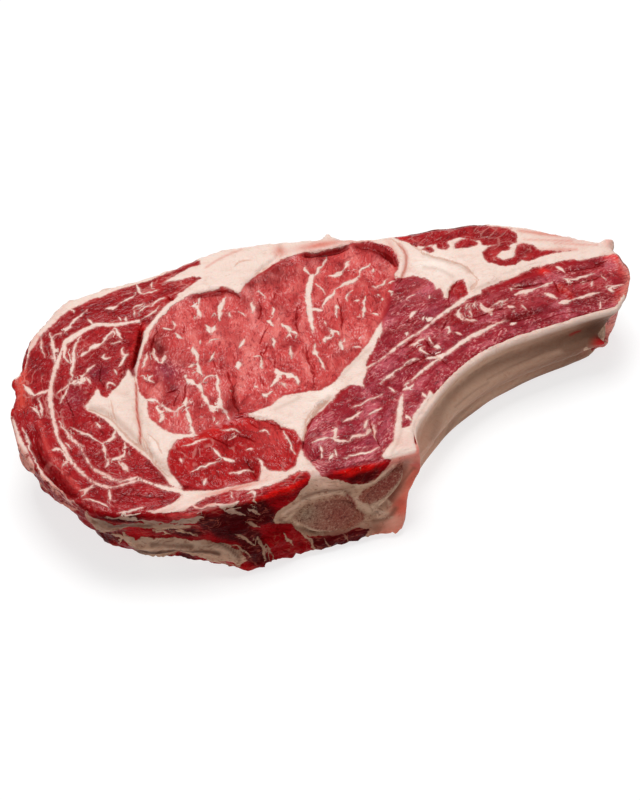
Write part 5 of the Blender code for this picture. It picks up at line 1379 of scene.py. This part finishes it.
# %% Outline the spongy bone and its gristle
BACKBONE_SPONGE = [
    (-40, -76.5), (-36, -74.5), (-30, -74), (-24, -73.5), (-19, -75), (-17.3, -79), (-16, -83.5),
    (-14, -88), (-18, -90.5), (-24, -91.5), (-30, -90.8), (-36, -88), (-40, -84.5), (-41.5, -80),
]
RIB_SPONGE = [
    (-14.8, -78), (-12, -74.6), (-6, -73.2), (0, -71), (4, -67.8), (7.5, -65), (9, -66.5), (8, -69.5),
    (5, -74), (0.5, -78), (-4, -81), (-9, -82.5), (-13.8, -83),
]
GRISTLE = [
    (0.7, (-21, -72.5), (-17.3, -76), (-15.8, -81), (-14, -86), (-9, -90), (-4, -91)),
    (0.5, (-13.8, -84), (-9, -84.5), (-5, -82.5), (-3, -84.5), (-5, -88)),
    (0.7, (-13, -72.5), (-6, -71.8), (0, -69.8), (4.5, -66)),
    (0.6, (-46, -76), (-42, -82), (-38, -87), (-33, -91)), (0.5, (-46.5, -80), (-42, -78), (-37, -74.5)),
    (0.5, (-31, -72.5), (-25, -71.5), (-20, -73)), (0.4, (-28, -68), (-22, -66.5), (-17, -68.5)),
]
SLITS = [(1.0, 0.8, (-18.3, -75), (-17.3, -78), (-17, -81.5)), (0.6, 0.5, (-3, -71.5), (3, -68))]
print("spongy bone:", area(BACKBONE_SPONGE).round(1), "and", area(RIB_SPONGE).round(1), "square cm")

# %% Tone the spongy bone
BONE_RED, BONE_GREY, BONE_BROWN = tone(146, 84, 68), tone(146, 118, 96), tone(130, 42, 33)
BONE_PATCHES = [
    (BONE_GREY, 0.9, (-37, -79), (7, 8)), (BONE_BROWN, 0.7, (-24, -84), (6, 5)),
    (BONE_BROWN, 0.95, (-1, -74), (12, 6), 30), (tone(160, 126, 104), 0.6, (-27, -74.5), (9, 1.6)),
]


def sponge_depth(plan):
    """How deep each plan point lies in spongy bone, in mm."""
    return np.maximum(depth_in(plan, BACKBONE_SPONGE), depth_in(plan, RIB_SPONGE))


def bone_tone(plan):
    """Spongy bone's broad colour: grey at the backbone's left, redder to its right and in the rib."""
    return lay_all(np.tile(BONE_RED, (len(plan), 1)), plan, BONE_PATCHES, [])


print("backbone's left edge as linear light:", bone_tone(np.array([(-37.0, -79.0)]))[0].round(2))

# %% [markdown]
# ## Everything onto the mesh
#
# The face, the walls and the underside each have their own distances and tones. They are mixed by how far
# each point belongs to the one or the other, and stored as layers that the shader can read.

# %% Choose the fibres and flecks of each side
in_front = (is_face < 0.5) & (in_view > 0.3) & (rib_wall < 0.3)
under_fibres = fibres_at(under_plan, np.ones(len(plan), bool))
seen_fibres = fibres_at(plan, (is_face > 0.5) | (in_view > 0.3))
fibres = choose(under > 0.5, under_fibres, seen_fibres)
to_change = np.min([np.abs(depth_in(plan, zone)) for zone in (EYE, OVAL, PLUM_ZONE)], axis=0)
calm = smoothstep(0.5, 1.7, to_change)

# Painted glints along the fibres show in the eye and along the rib, but less in its strips. Fine fat nets
# the others.
by_strips = np.maximum(patch(plan, (64, 3), (26, 6), 20), patch(plan, (108, 4), (26, 9), 4))
glitter = 0.22 + 0.78 * np.maximum(depth_in(plan, PLUM_ZONE) > 0, depth_in(plan, EYE) > 0)
glitter -= 0.1 * (depth_in(plan, OVAL) > 0)
glitter -= 0.5 * by_strips
netted = 0.3 + 0.7 * (1 - np.maximum(depth_in(plan, PLUM_ZONE) > 0, depth_in(plan, EYE) > -1))
print("calm round the muscles' borders for", int((calm < 0.5).sum()), "points")

# %% [markdown]
# A layer is one value for each point of the mesh. Blender blends it across the faces, so a distance stays
# a distance between the points. A tone could be a texture, but a layer needs no unwrapping and follows the
# skin wherever it is pushed.

# %% Store the map on the mesh
def mix(mask, one, other):
    """One where mask is 1, the other where it is 0."""
    mask = mask if np.ndim(one) == 1 else mask[:, None]
    return mask * one + (1 - mask) * other


def store(piece, **layers):
    """Stores layers on a piece's points: colours where the name ends in tone, else places or numbers."""
    for name, values in layers.items():
        kind, field = ("FLOAT_VECTOR", "vector") if values.ndim == 2 else ("FLOAT", "value")
        if name.endswith("tone"):
            kind, field = "FLOAT_COLOR", "color"
            values = np.column_stack([values, np.ones(len(values))])
        layer = piece.data.attributes.new(name, kind, "POINT")
        layer.data.foreach_set(field, np.ascontiguousarray(values, np.float32).ravel())


def gristle_on(plan):
    """How much of each plan point is gristle."""
    aside, half = nearest_strand(plan, GRISTLE)
    return np.clip(0.6 + half - np.abs(aside), 0, 1)


on_face = is_face >= 0.5
on_corner = smoothstep(-3, 0, depth_in(plan, SALMON_EDGE))
store(
    steak,
    fat_depth=mix(under, under_fat, mix(is_face, face_fat, wall_fat)),
    strand_side=np.where(on_face, face_strand, np.where(in_front, front_strand, FAR)),
    strand_half=np.where(on_face, face_half, np.where(in_front, front_half, -FAR)),
    shadow=mix(is_face, face_dark, in_front * shade(plan, SLITS)),
    crease_side=np.where(on_face, crease_side, FAR),
    crease_half=np.where(on_face, crease_half, -FAR),
    netted=netted,
    marbled=1 - in_front * (1 - is_face) * (1 - on_corner),
    bone_tone=bone_tone(plan),
    sponge=np.where(in_front, sponge_depth(plan), -FAR),
    gristle=in_front * gristle_on(plan),
    fibres=fibres,
    fibrous=calm,
    glitter=glitter,
    wet=mix(under, np.ones(len(plan)), is_face),
    lean_tone=mix(under, under_lean, mix(is_face, lean_tone, wall_lean)),
    fat_tone=mix(under, under_cream, mix(is_face, fat_tone, wall_cream)),
)
print("stored", len(steak.data.attributes), "layers on the mesh")

# %% [markdown]
# ## A way to write shaders
#
# Shader maths is easiest to read as sums. A small class wraps a node's output, so that adding or
# multiplying two of them adds a Math node. Colours never pass through Math nodes, which would turn them
# grey: they go through Mix and Vector Math.

# %% Expressions that make nodes
class Flow:
    """A node's output that adds, multiplies and compares like a number."""

    def __init__(self, paint, socket):
        self.paint, self.socket = paint, socket

    def math(self, operation, *values):
        """A Math node on some values, the output of which is a Flow again."""
        return self.paint.node("ShaderNodeMath", {"operation": operation}, dict(enumerate(values)))

    def __add__(self, other):
        return self.math("ADD", self, other)

    def __sub__(self, other):
        return self.math("SUBTRACT", self, other)

    def __rsub__(self, other):
        return self.math("SUBTRACT", other, self)

    def __mul__(self, other):
        return self.math("MULTIPLY", self, other)

    def __abs__(self):
        return self.math("ABSOLUTE", self)

    def larger(self, other):
        return self.math("MAXIMUM", self, other)

    __radd__, __rmul__ = __add__, __mul__


print("sums, differences and products of two outputs now add Math nodes")

# %% A material and the nodes that it is made of
class Paint:
    """A material and its nodes."""

    def __init__(self, name):
        self.material = bpy.data.materials.new(name)
        self.material.use_nodes = True
        self.tree = self.material.node_tree
        self.tree.nodes.clear()

    def node(self, kind, settings=None, values=None, output=0):
        """Adds a node of a type, with its settings first and then its sockets' values or links."""
        made = self.tree.nodes.new(kind)
        for name, value in (settings or {}).items():
            setattr(made, name, value)
        for key, value in (values or {}).items():
            if isinstance(value, Flow):
                self.tree.links.new(value.socket, made.inputs[key])
            else:
                made.inputs[key].default_value = value
        return None if output is None else Flow(self, made.outputs[output])

    def layer(self, name, output=2):
        """A layer stored on the mesh: output 0 is a colour, 1 a vector and 2 a number."""
        return self.node("ShaderNodeAttribute", {"attribute_name": name}, output=output)

    def place(self):
        """The point's place on the piece, in mm, from the Object output, which is the fourth."""
        spot = self.node("ShaderNodeTexCoord", output=3)
        return self.vector("SCALE", spot, Scale=1 / MM)

    def vector(self, operation, one, other=None, **more):
        """A Vector Math node on one or two vectors."""
        values = {0: one, **more}
        if other is not None:
            values[1] = other
        return self.node("ShaderNodeVectorMath", {"operation": operation}, values)

    def noise(self, spot, reach, detail=2.0, roughness=0.5, warp=0.0):
        """Noise around 0, from -1 to 1, with features about reach mm across."""
        values = {"Vector": spot, "Scale": 1 / reach, "Detail": detail}
        values |= {"Roughness": roughness, "Distortion": warp}
        return self.node("ShaderNodeTexNoise", None, values) * 2.0 - 1.0

    def swirl(self, spot, reach):
        """A smooth wandering vector, from -0.5 to 0.5 along each axis."""
        values = {"Vector": spot, "Scale": 1 / reach, "Detail": 1.0}
        colour = self.node("ShaderNodeTexNoise", None, values, 1)
        return self.vector("SUBTRACT", colour, (0.5, 0.5, 0.5))

    def bundles(self, spot, size, feature="DISTANCE_TO_EDGE", output=0):
        """Cells like bundles of fibre: the distance to their rims, or with F1 and output 1 a colour each."""
        cells = {"feature": feature}
        return self.node("ShaderNodeTexVoronoi", cells, {"Vector": spot, "Scale": 1 / size}, output)

    def step(self, low, high, x):
        """Rises smoothly from 0 to 1 as x goes from low to high."""
        ramp = {"interpolation_type": "SMOOTHSTEP"}
        return self.node("ShaderNodeMapRange", ramp, {0: x, 1: low, 2: high, 3: 0.0, 4: 1.0})

    def mix(self, share, one, other):
        """One colour passing into another as share goes from 0 to 1."""
        one, other = (shade if isinstance(shade, Flow) else (*shade, 1.0) for shade in (one, other))
        return self.node("ShaderNodeMix", {"data_type": "RGBA"}, {0: share, 6: one, 7: other}, 2)

    def tinted(self, colour, factor):
        """A colour times another colour."""
        settings = {"data_type": "RGBA", "blend_type": "MULTIPLY"}
        return self.node("ShaderNodeMix", settings, {0: 1.0, 6: colour, 7: (*factor, 1.0)}, 2)

    def surface(self, colour, roughness, height, **fixed):
        """A surface: varying colour, roughness and relief in mm, and constants by socket name."""
        values = {"Base Color": colour, "Roughness": roughness, **fixed}
        if isinstance(height, Flow):
            values["Normal"] = self.node("ShaderNodeBump", None, {"Distance": MM, "Height": height})
        return self.node("ShaderNodeBsdfPrincipled", {"subsurface_method": "RANDOM_WALK"}, values)

    def finish(self, surface):
        """The material, with this surface on its output."""
        self.node("ShaderNodeOutputMaterial", None, {"Surface": surface}, None)
        return self.material


print("shader kit ready")

# %% [markdown]
# ## Lean, fat and membrane
#
# One material covers the whole skin. Lean is bundles of fibre cut across: short darker streaks that lean
# one way in the eye and another along the rib, with painted glints along the fibres and a net of fine
# marbling. Fat is smooth and waxy, with faint creases. Creases and the stored shadows get painted shade.
# The stored distances say which is where, and a little noise on them makes the edges wander as real ones do.

# %% Mix the sawn bone's colour, which two materials share
PORE, BRIDGE, GRISTLE_TONE = tone(84, 22, 18), tone(190, 150, 128), tone(214, 176, 150)


def spongy_bone(paint, spot, around):
    """Spongy bone laid over another colour, by the depth stored on the mesh."""
    speck = paint.noise(spot, 0.95, 2.0, 0.75)
    lump = paint.noise(spot, 4.5, 2.0)
    depth = paint.layer("sponge") + speck * 0.9 + lump * 0.6
    bone = paint.layer("bone_tone", 0)
    bone = paint.mix(paint.step(0.0, 0.35, speck) * 0.8, bone, PORE)
    bone = paint.mix(paint.step(-0.05, -0.4, speck) * 0.5, bone, BRIDGE)
    bone = paint.mix(paint.step(-0.5, 0.9, depth) * 0.95, around, bone)
    gristle = paint.layer("gristle") * paint.step(-0.4, 0.3, lump + speck) * 0.75
    return paint.mix(gristle, bone, GRISTLE_TONE)


print("spongy bone has pores of", PORE.round(3))

# %% [markdown]
# The lean and the fat share their patterns. Fibre patterns are read at the place across and along the
# fibres, so they lean as the muscle does, and the others at the plain place on the piece. The share of
# fat comes from the stored distances: the nearer of a body of fat and a strand wins.

# %% Set out the patterns that lean and fat share
def skin_patterns(paint):
    """Layers and noises that the steak's lean, fat and relief share."""
    skin = SimpleNamespace(spot=paint.place())
    skin.marbled, skin.fibrous = paint.layer("marbled"), paint.layer("fibrous")
    drift = paint.vector("SCALE", paint.swirl(skin.spot, 9.0), Scale=3.0)
    skin.grain = paint.vector("ADD", paint.layer("fibres", 1), drift)
    skin.streak = paint.noise(skin.grain, 0.9, 3.0, 0.6, 0.4)
    skin.stipple = paint.noise(skin.grain, 0.8, 2.0, 0.7)
    skin.ragged = paint.noise(skin.spot, 1.5, 3.0, 0.65)
    skin.wander = paint.noise(skin.spot, 4.0, 1.0)
    skin.blotch = paint.noise(skin.spot, 5.0, 2.0, 0.5)
    skin.cloud = paint.noise(skin.spot, 17.0, 1.0, 0.5)
    return skin


def fat_edge(paint, skin):
    """How deep each point lies in fat, with edges that wander, and the share of fat there."""
    body = paint.layer("fat_depth") + skin.ragged * 0.7 + skin.wander * 0.75
    side = abs(paint.layer("strand_side") + skin.wander * 1.3 + skin.ragged * 0.35)
    strand = paint.layer("strand_half") - side + skin.ragged * 0.6 + skin.blotch * 0.3 - 0.12
    depth = body.larger(strand)
    return depth, paint.step(-0.3, 0.22, depth)


print("patterns from 0.8 mm, the stipple, to 17 mm, the clouds")

# %% [markdown]
# Lean is dark at the edges of its bundles, has darker streaks and painted glints along its fibres, and a
# net of the finest fat between the bundles. Beside fat it pales, because fat shines through it.

# %% Mix the lean
BUNDLE = 4.6  # mm across
GLINT, GLINT_BASE = (0.9, 0.4, 0.38), (0.36, 0.012, 0.014)
FINE_FAT, BESIDE_FAT = (0.78, 0.36, 0.31), (0.78, 0.34, 0.3)
TORN_THREAD = tone(166, 82, 66)


def lean_colour(paint, skin, depth):
    """The lean's tone with bundles, streaks, painted glints and the finest fat over it."""
    drift = paint.vector("SCALE", paint.swirl(skin.spot, 3.5), Scale=1.3)
    bent = paint.vector("ADD", skin.grain, drift)
    gap = paint.bundles(bent, BUNDLE) + skin.ragged * 0.03
    bundle = paint.node("ShaderNodeSeparateColor", None, {0: paint.bundles(bent, BUNDLE, "F1", 1)})
    bundle = bundle * 2.0 - 1.0
    vein = paint.step(0.075, 0.02, gap) * paint.step(0.0, 0.5, skin.wander + skin.cloud)
    crack = paint.step(0.06, 0.0, gap) * paint.step(0.1, -0.4, skin.wander + skin.cloud)

    lean = paint.layer("lean_tone", 0)
    deep = paint.tinted(lean, (0.5, 0.24, 0.3))
    light = paint.mix(skin.marbled * 0.7, paint.mix(0.5, lean, GLINT_BASE), GLINT)
    lean = paint.mix(paint.step(0.2, -1.0, bundle * 0.6 + skin.blotch * 0.7) * 0.45, lean, deep)
    lean = paint.mix(crack * 0.7, lean, deep)
    dark_streak = paint.step(0.0, -0.45, skin.streak + skin.blotch * 0.35)
    lean = paint.mix(dark_streak * skin.fibrous * 0.9, lean, deep)
    # Painted glints: light flecks along the fibres, where the wet surface would catch the light.
    sheen = paint.step(-0.4, 0.6, bundle * 0.3 + skin.blotch * 0.9 + skin.cloud * 0.5)
    sheen = sheen * paint.layer("glitter") * skin.fibrous
    lean = paint.mix(paint.step(-0.05, 0.4, skin.stipple + skin.streak * 0.4) * sheen, lean, light)
    thread = paint.step(0.06, 0.0, abs(paint.noise(skin.grain, 3.4, 2.0, 0.6, 0.8)))
    thread = thread * paint.step(-0.2, 0.4, skin.cloud + skin.blotch)
    lean = paint.mix(thread * (1 - skin.marbled) * 0.6, lean, TORN_THREAD)
    lean = paint.mix(vein * paint.layer("netted") * skin.marbled * 0.3, lean, FINE_FAT)
    return paint.mix(paint.step(-1.0, 0.0, depth) * skin.marbled * 0.32, lean, BESIDE_FAT)


print("bundles of fibre are about", BUNDLE, "mm across")

# %% [markdown]
# Fat is waxy and nearly even. It is pleated by the knife, with painted shade along the pleats, pinker where
# it thins out beside lean, and on the torn walls it is stained by what ran over it.

# %% Mix the fat
THIN_FAT, WALL_STAIN = (0.72, 0.33, 0.28), tone(120, 74, 58)


def fat_colour(paint, skin, depth, pleat):
    """The fat's tone with waxy patches, painted shade along its pleats, pink rims and stains over it."""
    cream = paint.layer("fat_tone", 0)
    waxy = paint.tinted(cream, (0.86, 0.72, 0.66))
    cream = paint.mix(paint.step(0.0, 0.8, skin.blotch * 0.5 + pleat) * 0.7, cream, waxy)
    # Painted shade runs along the pleats.
    fold = paint.step(0.05, 0.0, abs(pleat)) * paint.step(-0.1, 0.4, skin.blotch)
    cream = paint.mix(fold * 0.45, cream, paint.tinted(cream, (0.66, 0.42, 0.34)))
    cream = paint.mix(paint.step(0.8, -0.15, depth) * 0.5 * skin.marbled, cream, THIN_FAT)
    cream = paint.mix(paint.step(-0.2, 0.5, skin.stipple) * 0.3, cream, waxy)
    stain = (1 - skin.marbled) * paint.step(0.0, 0.45, skin.streak + skin.blotch * 0.4)
    return paint.mix(stain * 0.7, cream, WALL_STAIN)


print("fat is mixed from waxy cream and", WALL_STAIN.round(3), "stains")

# %% [markdown]
# The surface is moist where the knife cut it and dull where it was torn, lies in a crease or lies under a
# painted shadow. Gloss could be one number for all, but then every crease would shine. So two surfaces that
# differ in gloss alone are mixed by how wet each point is.

# %% Mix the steak's material
WET_GLOSS, DULL_GLOSS = 0.22, 0.015


def raw_meat():
    """The one material of the steak's whole skin."""
    paint = Paint("raw_meat")
    skin = skin_patterns(paint)
    depth, fat = fat_edge(paint, skin)
    pleat = paint.noise(paint.vector("MULTIPLY", skin.spot, (0.7, 1.3, 1.0)), 4.5, 3.0, 0.55, 0.5)
    surface = paint.mix(fat, lean_colour(paint, skin, depth), fat_colour(paint, skin, depth, pleat))
    surface = spongy_bone(paint, skin.spot, surface)

    # Painted shade: the stored shadows darken the colour, and so do the creases.
    shadow = paint.layer("shadow")
    surface = paint.mix(shadow, surface, paint.tinted(surface, (0.34, 0.05, 0.07)))
    crease = abs(paint.layer("crease_side") + skin.wander * 0.9 + skin.ragged * 0.25)
    crease = paint.step(0.35, -0.1, crease - paint.layer("crease_half")) * 0.85
    crease_shade_lean = paint.tinted(surface, (0.5, 0.06, 0.08))
    crease_shade_fat = paint.tinted(surface, (0.82, 0.66, 0.6))
    surface = paint.mix(crease, surface, paint.mix(fat, crease_shade_lean, crease_shade_fat))

    # Creases and painted shadows are made dull too, so that they don't shine.
    wet = paint.layer("wet") * (1 - crease.larger(shadow))
    roughness = 0.28 + paint.noise(skin.spot, 2.6, 2.0) * 0.1 + fat * 0.12
    fibre_relief = (paint.noise(skin.grain, 1.5, 2.0) * 0.5 + skin.stipple * 0.1) * skin.fibrous
    relief = (1 - fat) * fibre_relief + fat * (pleat * 0.35 + 0.2) + skin.blotch * 0.15
    soft = {"Subsurface Weight": 0.1, "Subsurface Radius": (1.0, 0.2, 0.12), "Subsurface Scale": 1.0 * MM}
    wet_skin, dull_skin = (
        paint.surface(surface, roughness, relief, **soft, **{"Specular IOR Level": gloss})
        for gloss in (WET_GLOSS, DULL_GLOSS)
    )
    return paint.finish(paint.node("ShaderNodeMixShader", None, {0: wet, 1: dull_skin, 2: wet_skin}))


def dress(piece, material):
    """Gives a piece its only material and a smooth skin."""
    piece.data.materials.clear()
    piece.data.materials.append(material)
    piece.data.shade_smooth()


dress(steak, raw_meat())
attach(steak, "root")
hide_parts("meat")
print("steak:", sum(len(face.vertices) - 2 for face in steak.data.polygons), "triangles")

# %% [markdown]
# ## The sawn bones
#
# Only the sawn ends of the bones show. Each piece is a copy of its solid, evened out so that its rim can
# be rounded. It reads the same map as the steak: red marrow with open pores in the middle, a grey brown
# spongy zone round it, and a pale rim of hard bone and gristle.

# %% Mix the sawn bone
RIM_BONE, RIM_BRIGHT, SLIT_RED = tone(160, 124, 102), tone(196, 158, 134), (0.15, 0.003, 0.006)
BONE_GLOSS = 0.06


def sawn_bone():
    """The material that both bones share."""
    paint = Paint("sawn_bone")
    spot = paint.place()
    grime = paint.noise(spot, 1.2, 2.0, 0.6)
    bone = paint.mix(paint.step(-0.4, 0.5, grime), RIM_BONE, RIM_BRIGHT)
    bone = spongy_bone(paint, spot, bone)
    bone = paint.mix(paint.layer("slit"), bone, SLIT_RED)
    soft = {"Subsurface Weight": 0.08, "Subsurface Radius": (1.0, 0.4, 0.25), "Subsurface Scale": 0.8 * MM}
    soft["Specular IOR Level"] = BONE_GLOSS
    return paint.finish(paint.surface(bone, 0.45 + grime * 0.1, grime * 0.15, **soft))


bone_finish = sawn_bone()
print("sawn bone has", len(bone_finish.node_tree.nodes), "nodes")

# %% Shape the rib and the piece of backbone
BONE_GRAIN = 0.9 * MM


def bone_piece(name, node):
    """A bone with an even, relaxed skin that stands for its solid."""
    piece = join(name, [copy_of(node)])
    even_out(piece, BONE_GRAIN)
    refine(piece, lambda edge: False, 1)  # cuts no edge, only relaxes
    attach(piece, "root")
    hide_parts(node)
    return piece


rib = bone_piece("rib", "rib_bone")
chine = bone_piece("backbone_piece", "chine_bone")
for piece in (rib, chine):
    at, facing_out = read_skin(piece)
    on_map = as_read(at)
    sponge = np.where(facing_out[:, 1] < -0.4, sponge_depth(on_map), -FAR)
    slit, gristle = shade(on_map, SLITS), gristle_on(on_map)
    store(piece, sponge=sponge, gristle=gristle, slit=slit, bone_tone=bone_tone(on_map))
    dress(piece, bone_finish)
    print(piece.name, len(piece.data.polygons), "faces")

# %% [markdown]
# ## Floor and light
#
# The photo is lit from above and behind, so the face is bright, the front falls into shade and the
# shadow on the floor is soft and short. One broad lamp does that, with a dim pale surround.

# %% Set the stage
floor_mesh = bpy.data.meshes.new("floor")
work = bmesh.new()
bmesh.ops.create_grid(work, x_segments=1, y_segments=1, size=4.0)
work.to_mesh(floor_mesh)
work.free()
floor = bpy.data.objects.new("floor", floor_mesh)
table = Paint("white_table")
glow = {"Specular IOR Level": 0.0, "Emission Color": (1, 1, 1, 1), "Emission Strength": 0.73}
floor.data.materials.append(table.finish(table.surface((0.3, 0.3, 0.3, 1), 0.9, 0.0, **glow)))
bpy.context.scene.collection.objects.link(floor)


def lamp(name, place, size, watts):
    """A square soft lamp that shines from a place at the steak."""
    light = bpy.data.lights.new(name, "AREA")
    light.shape = "SQUARE"
    light.size = size
    light.energy = watts
    made = bpy.data.objects.new(name, light)
    made.location = place
    made.rotation_euler = Vector(place).to_track_quat("Z", "Y").to_euler()
    bpy.context.scene.collection.objects.link(made)


lamp("overhead_lamp", (-0.02, 0.22, 1.42), 0.6, 17.8)
world = bpy.data.worlds.new("studio")
world.use_nodes = True
world.node_tree.nodes["Background"].inputs["Color"].default_value = (1, 1, 1, 1)
world.node_tree.nodes["Background"].inputs["Strength"].default_value = 0.28
bpy.context.scene.world = world
bpy.context.scene.view_settings.view_transform = "Standard"
print("lit by one lamp and the surround")

# %% [markdown]
# ## The end
#
# The dressed steak has to stay inside the imported part's box, and its relief was kept inside it above.

# %% Finish
print("steak dressed")
